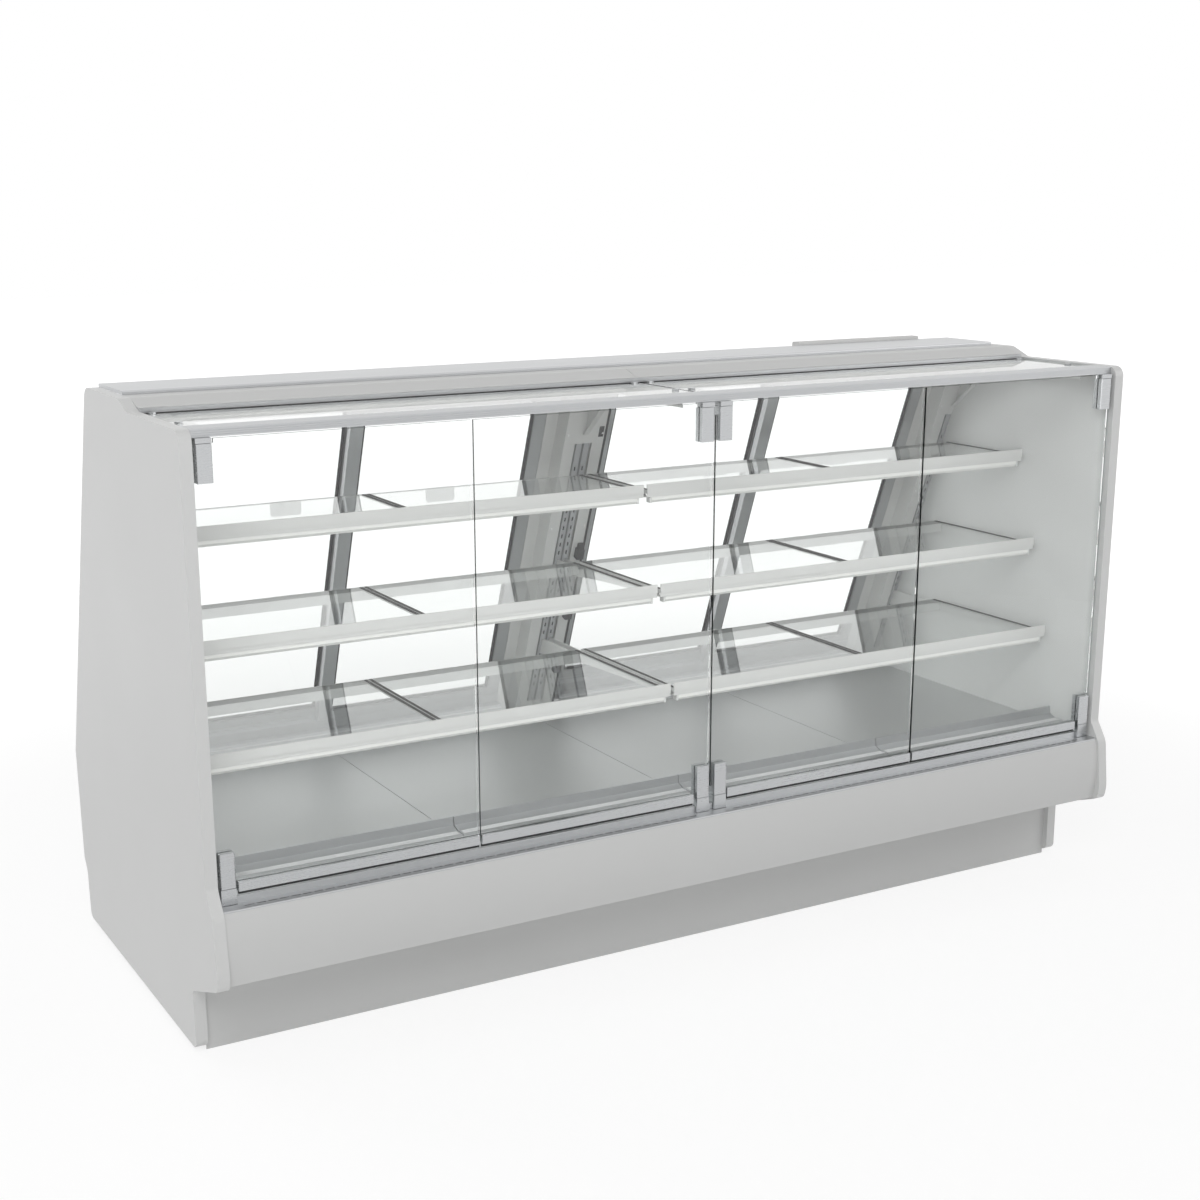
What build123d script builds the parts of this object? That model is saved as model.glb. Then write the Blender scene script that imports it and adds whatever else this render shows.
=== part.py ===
from build123d import *
import math
import os

# Refrigerated display case with pivoting front glass, six shelves and sliding rear doors.
# X runs along the case, Y from the customer's side to the server's side, Z up. Millimetres.
# Depths are written from the face of the kick panel, and export() moves the finished
# pieces so that the frame's origin is at the bottom centre of the whole case.

# Overall size
overall_length = 2489.0
end_thickness = 27.0
worktop_height = 1411.0
bulge_reach = 204.5
rear_reach = 897.0

# End panel outline
leg_reach = 16.5
leg_clearance = 12.0
toe_height = 152.0
bulge_underside = 218.0
bulge_top = 377.0
bulge_fall = 14.0
bulge_tuck = 8.0
bulge_widest_height = 247.5
waist_height = 427.0
waist_reach = 157.5
front_lean = 0.6
canopy_depth = 190.0
canopy_step = 24.0
canopy_step_run = 62.0
nose_radius = 26.0
rear_lean = 21.3
rear_corner_height = 452.0
rear_top_radius = 38.0
rear_notch = 25.0
rear_notch_height = 150.0
rear_notch_half = 16.0
rear_taper = 3.0
heel_radius = 19.0
toe_radius = 16.0
underside_radius = 18.0
bulge_radius = 90.0
shoulder_radius = 40.0
waist_radius = 20.0
step_low_radius = 20.0
step_high_radius = 30.0
rear_corner_radius = 12.0
notch_radius = 10.0

# Sheet metal, glass and fits
sheet = 2.0
heavy_sheet = 3.0
glass_thickness = 6.0
seat_gap = 0.3
running_gap = 0.05
slide_gap = 1.0
over = 5.0

# Base, tub and lower panels
foot_height = 25.0
foot_radius = 26.0
foot_sides = 6
foot_pad_height = 8.0
foot_stem_radius = 7.0
base_tube = 40.0
base_front = 22.0
base_rear = 838.0
tub_floor_height = 225.0
insulation = 38.0
tub_chamfer = 45.0
tub_inner_chamfer = 27.0
tub_front = -162.0
tub_rear = 862.0
tub_cavity_rear = 745.0
kick_height = 165.0
front_panel_bulge = 10.0
front_panel_reach = 182.0
front_panel_top = 381.0
sill_height = 385.5
threshold_height = 400.0
threshold_reach = 143.0
sill_rear_reach = 62.0
sill_rear_drop = 14.0
sill_slot_length = 20.5
sill_slot_width = 3.6
sill_slot_pitch = 25.4
sill_slot_reach = 166.0
sill_slot_margin = 41.0
panel_face_inset = 8.0
louvre_length = 60.0
louvre_height = 6.0
louvre_pitch = 20.0
louvre_land = 12.0
louvre_first_height = 55.0
louvre_rows = 4
louvre_columns = 6

# Deck and the air rails in front of it
deck_height = 388.0
deck_front = 9.0
deck_rear = 742.0
pan_rim = 15.0
pan_gap = 2.0
deck_ledge_gap = 3.0
rail_lip_reach = 2.0
rail_lip_height = 432.0
rail_waist_height = 412.0
rail_ledge_height = 405.0
rail_ledge_reach = 45.0
rail_waist_reach = 20.0

# Front glass and its clamps
glass_reach = 139.6
glass_foot_height = 407.0
glass_top_gap = 3.0
glass_end_gap = 4.0
glass_meeting_gap = 3.0
pane_rail_low = 3.0
pane_rail_high = 24.5
pane_rail_front = 7.0
pane_rail_back = 14.0
pane_seat = 7.0
clamp_inset = 8.0
clamp_width = 33.0
clamp_front = 12.0
clamp_height = 78.0
clamp_core = 20.0
lower_clamp_foot = 15.0
upper_clamp_drop = 8.5
pivot_radius = 4.0
pivot_depth = 9.0
pivot_end_gap = 1.0
pivot_block_height = 33.0
clamp_bevel = 1.5

# Posts, standards and sliding doors, set out on the leaning door plane
door_plane_depth = 990.7
post_half_width = 57.0
post_depth = 52.0
window_half_width = 25.0
window_low = 453.0
window_drop = 130.0
jamb_half_width = 91.0
jamb_depth = 50.0
standard_inset = 3.0
standard_width = 16.0
standard_depth = 14.0
standard_slot_width = 5.0
standard_slot_height = 13.0
standard_slot_pitch = 25.4
standard_slots = 28
standard_first_slot = 500.0
door_stile = 34.0
door_rail = 30.0
door_thickness = 20.0
door_spacing = 25.0
door_foot_height = 452.0
door_head_gap = 10.6
door_glass_thickness = 8.0
track_groove = 6.0
track_front = 3.0
track_wall = 4.0
track_head = 60.0
riser_steps = 4
riser_run = 15.0
riser_first = 10.0
riser_rise = 11.0
pull_width = 16.0
pull_height = 140.0
pull_depth = 7.0

# Shelves, listed from the top one down
shelf_front_depths = (160.0, 95.0, 32.0)
shelf_tops = (1130.0, 893.5, 658.5)
shelf_depths = (310.0, 414.0, 470.0)
shelf_levels = ("top", "middle", "lower")
shelf_centre_gap = 5.0
shelf_end_gap = 9.4
shelf_lip = 15.0
shelf_nose = 32.0
shelf_tag_height = 22.0
shelf_tag_proud = 2.0
shelf_ledge = 18.0
shelf_bar = 12.0
shelf_bar_height = 8.0
shelf_divider = 24.0
shelf_divider_web = 4.0
shelf_back_rail = 40.0
shelf_back_drop = 30.0
bracket_line = 11.0
bracket_thickness = 3.0
bracket_root = 46.0
bracket_tip = 12.0
bracket_sweep = 9.0
hook_height = 9.0
hook_depth = 5.0
light_depth = 18.0
light_height = 15.0
light_slope = 7.0
light_setback = 12.0
light_end_gap = 16.0
tag_plate_width = 77.0
tag_plate_height = 40.0
tag_plate_corner = 5.0
tag_plates_per_shelf = 2

# Canopy and worktop
arm_width = 54.0
arm_height = 24.0
arm_drop = 11.0
arm_rear = 500.0
header_reach = 150.0
header_depth = 58.0
header_height = 17.5
header_drop = 0.5
header_grooves = 3
rail_grooves = 2
header_groove = 1.6
canopy_rail_depth = 14.0
canopy_rail_drop = 10.0
gusset_drop = 127.0
gusset_reach = 155.0
canopy_bolt_inset = 22.0
canopy_bolt_radius = 5.0
canopy_bolt_gap = 0.6
canopy_bolt_sides = 8
canopy_bolt_head = 9.0
canopy_bolt_head_height = 3.5
canopy_bolt_depths = (-15.0, 172.0)
lamp_depth = 140.0
lamp_width = 30.0
lamp_height = 15.0
lamp_lift = 6.0
lamp_end_gap = 70.0
lamp_hanger = 20.0
lamp_hanger_inset = 220.0
worktop_front = 314.0
worktop_rear = 506.0
worktop_thickness = 8.0
worktop_round = 3.0
worktop_overhang = 20.0
beam_front = 285.0
fascia_lap = 6.0
fascia_lead = 14.0
fascia_bend = 14.0
fascia_meeting_gap = 1.0
raceway_inset = 102.5
raceway_length = 413.0
raceway_rise = 8.0
raceway_depth = 36.0
raceway_height = 44.0

# Sockets and switch on the middle post
socket_line = 46.0
socket_heights = (893.0, 715.0, 545.0)
socket_width = 20.0
socket_height = 30.0
socket_depth = 18.0
plug_width = 14.0
plug_height = 15.0
plug_depth = 12.0
switch_height = 1230.0
switch_width = 13.0
switch_length = 28.0

# Refrigeration
coil_wall_gap = 317.5
coil_pipe_gap = 617.5
coil_front = 330.0
coil_depth = 240.0
coil_height = 88.0
coil_fins = 24
coil_fin = 7.0
coil_web = 8.0
coil_rows = 4
return_bend = 20.0
return_tube = 12.0
fan_plate_depth = 60.0
fan_plate_flange = 34.0
fan_offsets = (200.0, 900.0)
fan_radius = 50.0
fan_hub_radius = 17.0
fan_hub_length = 20.0
fan_blades = 5
fan_blade_pitch = 28.0
fan_blade_width = 28.0
fan_blade_sheet = 1.6
fan_tip_gap = 4.0
fan_ring_sides = 16
fan_floor_gap = 2.0
motor_half_width = 24.0
motor_length = 44.0
motor_strap = 12.0
motor_strap_reach = 18.0
shaft_radius = 3.0
shaft_spare = 12.0
tray_height = 65.0
tray_front = 250.0
tray_rear = 790.0
tray_wall_gap = 17.5
tray_width = 820.0
compressor_offset = 480.0
compressor_depth = 420.0
compressor_radius = 68.0
compressor_height = 138.0
compressor_lift = 20.0
compressor_dome = 28.0
compressor_plate = (160.0, 110.0, 4.0)
compressor_plate_lift = 12.0
compressor_foot_inset = 14.0
compressor_foot_radius = 9.0
terminal_cover = (34.0, 44.0, 50.0)
terminal_lift = 45.0
condenser_offset = 220.0
condenser_depth = 760.0
condenser_width = 300.0
condenser_height = 138.0
condenser_thickness = 40.0
condenser_fins = 14
condenser_fin = 5.0
cowl_depth = 30.0
condenser_fan_radius = 58.0
pan_offset = -100.0
pan_depth = 475.0
pan_size = (420.0, 320.0, 45.0)
box_depth = 720.0
box_size = (220.0, 146.0, 110.0)
box_lid = 12.0
box_lid_lap = 3.0
pipe_radius = 5.0
pipe_sides = 6
pipe_bend = 22.0
pipe_clearance = 5.0
pipe_offsets = ((-30.0, 28.0), (10.0, 30.0))
pipe_entry = 24.0
pipe_entry_pitch = 30.0

# Sizes that follow from the ones above
half_length = overall_length / 2
tub_rim_height = sill_height - sheet - seat_gap
service_panel_top = deck_height - sheet - seat_gap
wall_x = half_length - end_thickness
front_slope = math.tan(math.radians(front_lean))
rear_slope = math.tan(math.radians(rear_lean))
panel_top = worktop_height - worktop_thickness
canopy_height = panel_top - canopy_step
header_top = canopy_height - header_drop
header_bottom = header_top - header_height
arm_top = canopy_height - arm_drop
arm_bottom = arm_top - arm_height
gusset_height = arm_bottom - gusset_drop
window_high = arm_bottom - window_drop
lamp_bottom = arm_bottom + lamp_lift
rear_cos = math.cos(math.radians(rear_lean))
glass_height = (header_bottom - glass_top_gap - glass_foot_height) / math.cos(math.radians(front_lean))
door_length = (arm_bottom - door_head_gap - door_foot_height) / rear_cos
section_length = wall_x / 2
tub_floor = tub_floor_height + insulation
base_rail_top = foot_height + base_tube
clamp_back = clamp_front + glass_thickness
hinge_inset = clamp_inset + clamp_width / 2
pane_middle = -glass_thickness / 2
swing_radius = math.hypot(clamp_width / 2, clamp_front + glass_thickness / 2) + slide_gap
coil_start = -wall_x + coil_wall_gap
coil_length = wall_x - coil_pipe_gap - coil_start
tray_left = wall_x - tray_wall_gap - tray_width
compressor_place = (tray_left + compressor_offset, compressor_depth)
condenser_place = (tray_left + condenser_offset, condenser_depth)
fascia_low = panel_top - canopy_step + fascia_lap

door_plane = Plane(
    origin=(0, door_plane_depth - rear_slope * deck_height, deck_height),
    x_dir=(1, 0, 0),
    z_dir=(0, -math.cos(math.radians(rear_lean)), -math.sin(math.radians(rear_lean))),
)
glass_plane = Plane(
    origin=(0, -glass_reach, glass_foot_height),
    x_dir=(1, 0, 0),
    z_dir=(0, -math.cos(math.radians(front_lean)), -math.sin(math.radians(front_lean))),
)


def export(name, shape):
    moved = Pos(0, frame_shift, 0) * shape
    export_step(moved, os.path.join("parts", name + ".step"))


def block(x_range, y_range, z_range):
    centre = [(low + high) / 2 for low, high in (x_range, y_range, z_range)]
    size = [high - low for low, high in (x_range, y_range, z_range)]
    return Pos(*centre) * Box(*size)


def slanted(plane, x_range, up_range, out_range):
    return plane.location * block(x_range, up_range, out_range)


def up_slope(height):
    """Distance up the door plane from deck level to a height."""
    return (height - deck_height) / rear_cos


def both_sides(shape):
    return [shape, mirror(shape, about=Plane.YZ)]


def group(solids):
    return Compound([solid for shape in solids for solid in shape.solids()])


def rounded_face(corners):
    """A YZ outline given as (depth, height, corner radius)."""
    outline = make_face(Plane.YZ * Polyline(*[(y, z) for y, z, radius in corners], close=True))
    for y, z, radius in corners:
        if radius > 0:
            corner = outline.vertices().sort_by_distance((0, y, z))[0]
            outline = fillet(corner, radius)
    return outline


def prism(corners, x_range):
    """The outline extruded along the case."""
    low, high = x_range
    return Pos(low, 0, 0) * extrude(rounded_face(corners), amount=high - low, dir=(1, 0, 0))


def extruded(edges, x_range):
    """A closed YZ outline of lines and arcs, extruded along the case."""
    low, high = x_range
    return Pos(low, 0, 0) * extrude(Plane.YZ * make_face(edges), high - low, dir=(1, 0, 0))


def standing(outline, place, height):
    """A flat outline set down at a place and extruded upwards."""
    return Pos(*place) * extrude(outline, height)


def bent_strip(points, thickness, bend=0.0):
    """Corners of a bent sheet that follows a line of points, its thickness to the left."""
    near, far = [], []
    for index, (y, z) in enumerate(points):
        before = points[max(index - 1, 0)]
        after = points[min(index + 1, len(points) - 1)]
        way_in = math.atan2(z - before[1], y - before[0]) if index else None
        way_out = math.atan2(after[1] - z, after[0] - y) if index < len(points) - 1 else None
        way_in = way_out if way_in is None else way_in
        way_out = way_in if way_out is None else way_out
        half_turn = (way_out - way_in) / 2
        half_turn = math.atan2(math.sin(half_turn), math.cos(half_turn))
        normal = way_in + half_turn + math.pi / 2
        reach = thickness / math.cos(half_turn)
        inner = index not in (0, len(points) - 1)
        near_radius = bend + thickness if half_turn > 0 else bend
        far_radius = bend if half_turn > 0 else bend + thickness
        rounded = inner and bend > 0
        near.append((y, z, near_radius if rounded else 0))
        far.append((y + reach * math.cos(normal), z + reach * math.sin(normal), far_radius if rounded else 0))
    return near + far[::-1]


def end_panel():
    front_top = waist_reach + front_slope * (canopy_height - waist_height)
    rear_top = rear_reach - rear_slope * (panel_top - rear_corner_height)
    corners = [
        (-leg_reach, leg_clearance, heel_radius),
        (-leg_reach, toe_height, toe_radius),
        (-bulge_reach + bulge_tuck, bulge_underside, underside_radius),
        (-bulge_reach, bulge_widest_height, bulge_radius),
        (-bulge_reach + bulge_fall, bulge_top, shoulder_radius),
        (-waist_reach, waist_height, waist_radius),
        (-front_top, canopy_height, nose_radius),
        (canopy_depth, canopy_height, step_low_radius),
        (canopy_depth + canopy_step_run, panel_top, step_high_radius),
        (rear_top, panel_top, rear_top_radius),
        (rear_reach, rear_corner_height, rear_corner_radius),
        (rear_reach - rear_taper, rear_notch_height + rear_notch_half, notch_radius),
        (rear_reach - rear_notch, rear_notch_height - rear_notch_half, notch_radius),
        (rear_reach - rear_notch - rear_taper, leg_clearance, heel_radius),
    ]
    return prism(corners, (wall_x, half_length))


def base_frame():
    """Channels on two levels with legs between them; the rails run through, the rest butts on them."""
    members = []
    half = base_tube / 2
    levels = ((foot_height, base_rail_top, 1), (tub_floor_height - base_tube, tub_floor_height, -1))
    for low, high, opening in levels:
        for y in frame_rows():
            members.append(channel((-wall_x, wall_x), (y - half, y + half), (low, high), Axis.X, opening))
        for x in frame_stations():
            y_range = (base_front + base_tube, base_rear - base_tube)
            members.append(channel((x - half, x + half), y_range, (low, high), Axis.Y, opening))
    for x in frame_stations():
        for y in frame_rows():
            z_range = (base_rail_top, tub_floor_height - base_tube)
            members.append(block((x - half, x + half), (y - half, y + half), z_range))
    return group(members)


def channel(x_range, y_range, z_range, along, opening):
    """A folded channel that runs along X or Y, open upwards (1) or downwards (-1)."""
    inside_z = (z_range[0] + heavy_sheet, z_range[1] + over)
    if opening < 0:
        inside_z = (z_range[0] - over, z_range[1] - heavy_sheet)
    drawn_x = -over if along == Axis.X else heavy_sheet
    drawn_y = -over if along == Axis.Y else heavy_sheet
    inside_x = (x_range[0] + drawn_x, x_range[1] - drawn_x)
    inside_y = (y_range[0] + drawn_y, y_range[1] - drawn_y)
    return block(x_range, y_range, z_range) - block(inside_x, inside_y, inside_z)


def frame_stations():
    outer = wall_x - base_tube / 2
    return (-outer, -outer / 3, outer / 3, outer)


def frame_rows():
    return (base_front + base_tube / 2, base_rear - base_tube / 2)


def levelling_feet():
    """Moulded pads that a spanner turns, each on a threaded stem."""
    feet = []
    for x in frame_stations():
        for y in frame_rows():
            pad = standing(RegularPolygon(foot_radius, foot_sides), (x, y, 0), foot_pad_height)
            stem_height = foot_height - foot_pad_height
            stem = RegularPolygon(foot_stem_radius, foot_sides)
            feet.append(pad + standing(stem, (x, y, foot_pad_height), stem_height))
    return group(feet)


def insulated_tub():
    rim = deck_height - pan_rim - seat_gap
    rear = tub_cavity_rear - insulation
    front = tub_front + insulation
    outer = [
        (tub_front, tub_rim_height, 0),
        (tub_front, tub_floor_height + tub_chamfer, 0),
        (tub_front + tub_chamfer, tub_floor_height, 0),
        (tub_rear, tub_floor_height, 0),
        (tub_rear, deck_height - sheet, 0),
        (deck_rear + deck_ledge_gap, deck_height - sheet, 0),
        (deck_rear + deck_ledge_gap, rim, 0),
        (rear, rim, 0),
        (front, rim, 0),
        (front, tub_rim_height, 0),
    ]
    tub = prism(outer, (-wall_x, wall_x))
    cavity = [
        (front, tub_rim_height + over, 0),
        (front, tub_floor + tub_inner_chamfer, 0),
        (front + tub_inner_chamfer, tub_floor, 0),
        (rear, tub_floor, 0),
        (rear, tub_rim_height + over, 0),
    ]
    tub -= prism(cavity, (-wall_x + insulation, wall_x - insulation))
    hole = pipe_radius + pipe_clearance
    for x, y in pipe_places():
        tub -= block((x - hole, x + hole), (y - hole, y + hole), (tub_floor_height - over, tub_floor + over))
    return tub


def kick_panel():
    return prism(
        bent_strip([(0, 0), (0, kick_height), (base_front - seat_gap, kick_height)][::-1], sheet),
        (-wall_x, wall_x),
    )


def lower_front_panel():
    """Bowed cladding with an underside that runs back to the kick panel and a flange at its top."""
    low, high = bulge_underside, front_panel_top
    middle = (low + high) / 2
    face, bow = -front_panel_reach, -front_panel_reach - front_panel_bulge
    heel, heel_height = -seat_gap, toe_height + sheet
    flange = tub_front - seat_gap
    edges = [
        Line((heel, heel_height), (face, low)),
        ThreePointArc((face, low), (bow, middle), (face, high)),
        Line((face, high), (flange, high)),
        Line((flange, high), (flange, high - sheet)),
        Line((flange, high - sheet), (face + sheet, high - sheet)),
        ThreePointArc((face + sheet, high - sheet), (bow + sheet, middle), (face + sheet, low + sheet)),
        Line((face + sheet, low + sheet), (heel, heel_height + sheet)),
        Line((heel, heel_height + sheet), (heel, heel_height)),
    ]
    return extruded(edges, (-wall_x, wall_x))


def sill_slot_centres():
    span = wall_x - 2 * sill_slot_margin
    count = int(span / sill_slot_pitch)
    first = wall_x / 2 - (count - 1) * sill_slot_pitch / 2
    return [first + index * sill_slot_pitch for index in range(count)]


def front_sill():
    points = [
        (-front_panel_reach, front_panel_top + seat_gap),
        (-front_panel_reach, sill_height),
        (-threshold_reach, sill_height),
        (-threshold_reach, threshold_height),
        (-sill_rear_reach, threshold_height),
        (-sill_rear_reach, threshold_height - sill_rear_drop),
    ]
    sill = prism(bent_strip(points, -sheet), (-wall_x, wall_x))
    top_z = (sill_height - over, sill_height + over)
    slot_y = (-sill_slot_reach - sill_slot_width / 2, -sill_slot_reach + sill_slot_width / 2)
    for centre in sill_slot_centres():
        for side in (-1, 1):
            x = side * centre
            sill -= block((x - sill_slot_length / 2, x + sill_slot_length / 2), slot_y, top_z)
    for hinge_x in hinge_lines():
        half = clamp_width / 2 + slide_gap
        y_range = (-glass_reach - clamp_front - 2 * slide_gap, -glass_reach + clamp_back + 2 * slide_gap)
        sill -= block((hinge_x - half, hinge_x + half), y_range, (sill_height - over, threshold_height + over))
    return sill


def sections():
    """The four two-foot spans of the case, from the left."""
    spans = []
    for index in range(4):
        left = -wall_x + index * section_length
        spans.append((left, left + section_length))
    return spans


def air_rails():
    points = [
        (-sill_rear_reach + seat_gap, threshold_height),
        (-rail_ledge_reach, rail_ledge_height),
        (-rail_waist_reach, rail_ledge_height),
        (0, rail_waist_height),
        (rail_lip_reach, rail_lip_height),
        (deck_front - seat_gap, rail_lip_height),
        (deck_front - seat_gap, deck_height + seat_gap),
    ]
    rails = []
    for left, right in sections():
        rails.append(prism(bent_strip(points, -sheet), (left + pan_gap / 2, right - pan_gap / 2)))
    return group(rails)


def deck_pans():
    pans = []
    for left, right in sections():
        x_range = (left + pan_gap / 2, right - pan_gap / 2)
        pan = block(x_range, (deck_front, deck_rear), (deck_height - pan_rim, deck_height))
        inside_x = (x_range[0] + sheet, x_range[1] - sheet)
        inside_y = (deck_front + sheet, deck_rear - sheet)
        pan -= block(inside_x, inside_y, (deck_height - pan_rim - over, deck_height - sheet))
        pans.append(pan)
    return group(pans)


def hinge_lines():
    """Pivot lines of the four panes, from the left."""
    outer = wall_x - hinge_inset
    return (-outer, -hinge_inset, hinge_inset, outer)


def hinge_side(index):
    """-1 where the pane is carried at its left edge, 1 at its right."""
    return -1 if index % 2 == 0 else 1


def pane_span(index):
    left, right = sections()[index]
    if hinge_side(index) < 0:
        return left + glass_end_gap, right - glass_meeting_gap
    return left + glass_meeting_gap, right - glass_end_gap


def clamp_span(index):
    hinge_x = hinge_lines()[index]
    return hinge_x - clamp_width / 2, hinge_x + clamp_width / 2


def clamp_rise():
    """The two clamps' spans up the glass."""
    upper_top = glass_height - upper_clamp_drop
    return (lower_clamp_foot, lower_clamp_foot + clamp_height), (upper_top - clamp_height, upper_top)


def glass_pane(index):
    """Pane with its corners cut out for the clamps' cores and for the fixed pivot blocks."""
    left, right = pane_span(index)
    pane = slanted(glass_plane, (left, right), (pane_seat, glass_height), (-glass_thickness, 0))
    side = hinge_side(index)
    hinge_x = hinge_lines()[index]
    edge = left - over if side < 0 else right + over
    lower, upper = clamp_rise()
    notches = (
        (clamp_width / 2, (pane_seat - over, lower[0] + clamp_core)),
        (clamp_width / 2, (upper[1] - clamp_core, glass_height + over)),
        (swing_radius, (pane_seat - over, lower[0])),
        (swing_radius, (upper[1], glass_height + over)),
    )
    for reach, rise in notches:
        x_range = sorted((edge, hinge_x - side * reach))
        pane -= slanted(glass_plane, x_range, rise, (-glass_thickness - over, over))
    return pane


def clamp(index, rise, pin_up):
    """Two cheeks and the core that joins them beside the glass, with the pivot pin."""
    body = slanted(glass_plane, clamp_span(index), rise, (-clamp_back, clamp_front))
    front_edges = body.edges().filter_by(Axis.X, reverse=True).group_by(Axis.Y)[0]
    body = chamfer(front_edges, clamp_bevel)
    glass_rise = (rise[0] - over, rise[1] - clamp_core) if pin_up else (rise[0] + clamp_core, rise[1] + over)
    x_range = (clamp_span(index)[0] - over, clamp_span(index)[1] + over)
    body -= slanted(glass_plane, x_range, glass_rise, (-glass_thickness, 0))
    pin_base = rise[1] if pin_up else rise[0]
    pin_middle = pin_base + (pivot_depth / 2 if pin_up else -pivot_depth / 2)
    pin = Cylinder(pivot_radius, pivot_depth, rotation=(90, 0, 0))
    body += glass_plane.location * Pos(hinge_lines()[index], pin_middle, pane_middle) * pin
    return body


def pane_fittings(index):
    lower, upper = clamp_rise()
    left, right = pane_span(index)
    hinge_x = hinge_lines()[index]
    rail_span = (hinge_x + swing_radius, right) if hinge_side(index) < 0 else (left, hinge_x - swing_radius)
    out_range = (-pane_rail_back, pane_rail_front)
    rail = slanted(glass_plane, rail_span, (pane_rail_low, pane_rail_high), out_range)
    rail -= slanted(
        glass_plane, (left - over, right + over), (pane_seat, pane_rail_high + over), (-glass_thickness, 0)
    )
    return group([clamp(index, lower, False), clamp(index, upper, True), rail])


def pivot_blocks():
    """Fixed blocks that hold the pivot pins, one on the tub and one under the header for each pane."""
    blocks = []
    lower, upper = clamp_rise()
    out_range = (-clamp_back, clamp_front)
    bore_depth = pivot_depth + pivot_end_gap + over
    bore = Cylinder(pivot_radius + running_gap, bore_depth, rotation=(90, 0, 0))
    for index, hinge_x in enumerate(hinge_lines()):
        low_top = lower[0] - slide_gap
        low = slanted(glass_plane, clamp_span(index), (low_top - 2 * pivot_block_height, low_top), out_range)
        low = trim(low, tub_rim_height + seat_gap, glass_foot_height + low_top)
        low_middle = lower[0] + over - bore_depth / 2
        low -= glass_plane.location * Pos(hinge_x, low_middle, pane_middle) * bore
        high_low = upper[1] + slide_gap
        high = slanted(glass_plane, clamp_span(index), (high_low, high_low + pivot_block_height), out_range)
        high = trim(high, glass_foot_height, header_bottom - seat_gap)
        high_middle = upper[1] - over + bore_depth / 2
        high -= glass_plane.location * Pos(hinge_x, high_middle, pane_middle) * bore
        blocks += [low, high]
    return group(blocks)


def trim(shape, low, high):
    """What lies between two heights."""
    reach = overall_length
    return shape & block((-reach, reach), (-reach, reach), (low, high))


def post(x_range, window):
    """Leaning post: a folded channel with a window for the shelf standards, and the door jamb behind it."""
    left, right = x_range
    top = up_slope(arm_bottom) + post_depth
    body = slanted(door_plane, (left, right), (-post_depth, top), (0, post_depth))
    inside = (left + heavy_sheet, right - heavy_sheet)
    backing = post_depth - heavy_sheet / 2 - standard_depth
    face = post_depth - heavy_sheet / 2
    body -= slanted(door_plane, inside, (-post_depth - over, top + over), (-over, backing - heavy_sheet))
    body -= slanted(door_plane, inside, (-post_depth - over, top + over), (backing, face))
    opening = (up_slope(window_low), up_slope(window_high))
    return body - slanted(door_plane, window, opening, (face - over, face + over))


def jamb(x_range):
    """Box section that frames the sliding doors, open at its ends."""
    top = up_slope(arm_bottom) + post_depth
    inside = (x_range[0] + heavy_sheet, x_range[1] - heavy_sheet)
    outer = slanted(door_plane, x_range, (-post_depth, top), (-jamb_depth, 0))
    hollow_out = (-jamb_depth + heavy_sheet, -heavy_sheet)
    return outer - slanted(door_plane, inside, (-post_depth - over, top + over), hollow_out)


def rear_posts():
    window = (-window_half_width, window_half_width)
    middle = post((-post_half_width, post_half_width), window)
    middle += jamb((-jamb_half_width, jamb_half_width))
    end_window = (wall_x - window_half_width, wall_x + window_half_width)
    end = post((wall_x - post_half_width, wall_x), end_window)
    end += jamb((wall_x - jamb_half_width, wall_x))
    posts = [middle] + both_sides(end)
    return group([trim(shape, deck_height, arm_bottom) for shape in posts])


def standard_spans():
    inner, outer = standard_inset, standard_inset + standard_width
    return ((-outer, -inner), (inner, outer), (-wall_x + inner, -wall_x + outer), (wall_x - outer, wall_x - inner))


def shelf_standards():
    """Slotted uprights that the shelf brackets hook into."""
    length = up_slope(window_high) - up_slope(window_low) - 2 * seat_gap
    start = up_slope(window_low) + seat_gap
    face = post_depth - heavy_sheet / 2
    first_slot = up_slope(standard_first_slot)
    standards = []
    for left, right in standard_spans():
        bar = slanted(door_plane, (left, right), (start, start + length), (face - standard_depth, face))
        hollow_x = (left + sheet, right - sheet)
        bar -= slanted(door_plane, hollow_x, (start - over, start + length + over), (0, face - sheet))
        middle = (left + right) / 2
        slot_x = (middle - standard_slot_width / 2, middle + standard_slot_width / 2)
        for number in range(standard_slots):
            low = first_slot + number * standard_slot_pitch
            bar -= slanted(door_plane, slot_x, (low, low + standard_slot_height), (face - over, face + over))
        standards.append(bar)
    return group(standards)


def shelf_span(side):
    near, far = shelf_centre_gap, wall_x - shelf_end_gap
    return (near, far) if side > 0 else (-far, -near)


def post_face_depth(height):
    """Depth of the standards' face at a height."""
    return door_plane_depth - rear_slope * height - (post_depth - heavy_sheet / 2) / rear_cos


def shelf_bracket(level, line):
    """Cantilever arm with a curved lower edge and two hooks that enter the standard."""
    front = shelf_front_depths[level] + shelf_ledge
    top = shelf_tops[level] - shelf_lip - shelf_bar_height
    root_top = post_face_depth(top) - seat_gap
    root_low = post_face_depth(top - bracket_root) - seat_gap
    low, tip = top - bracket_root, top - bracket_tip
    middle = ((root_low + front) / 2, (low + tip) / 2 + bracket_sweep)
    edge = [
        Line((front, top), (root_top, top)),
        Line((root_top, top), (root_low, low)),
        ThreePointArc((root_low, low), middle, (front, tip)),
        Line((front, tip), (front, top)),
    ]
    half = bracket_thickness / 2
    arm = extruded(edge, (line - half, line + half))
    face = post_depth - heavy_sheet / 2
    for up in slot_rises(top, top - bracket_root):
        reach = (face - hook_depth, face + 2)
        arm += slanted(door_plane, (line - half, line + half), (up, up + hook_height), reach)
    return arm


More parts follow.
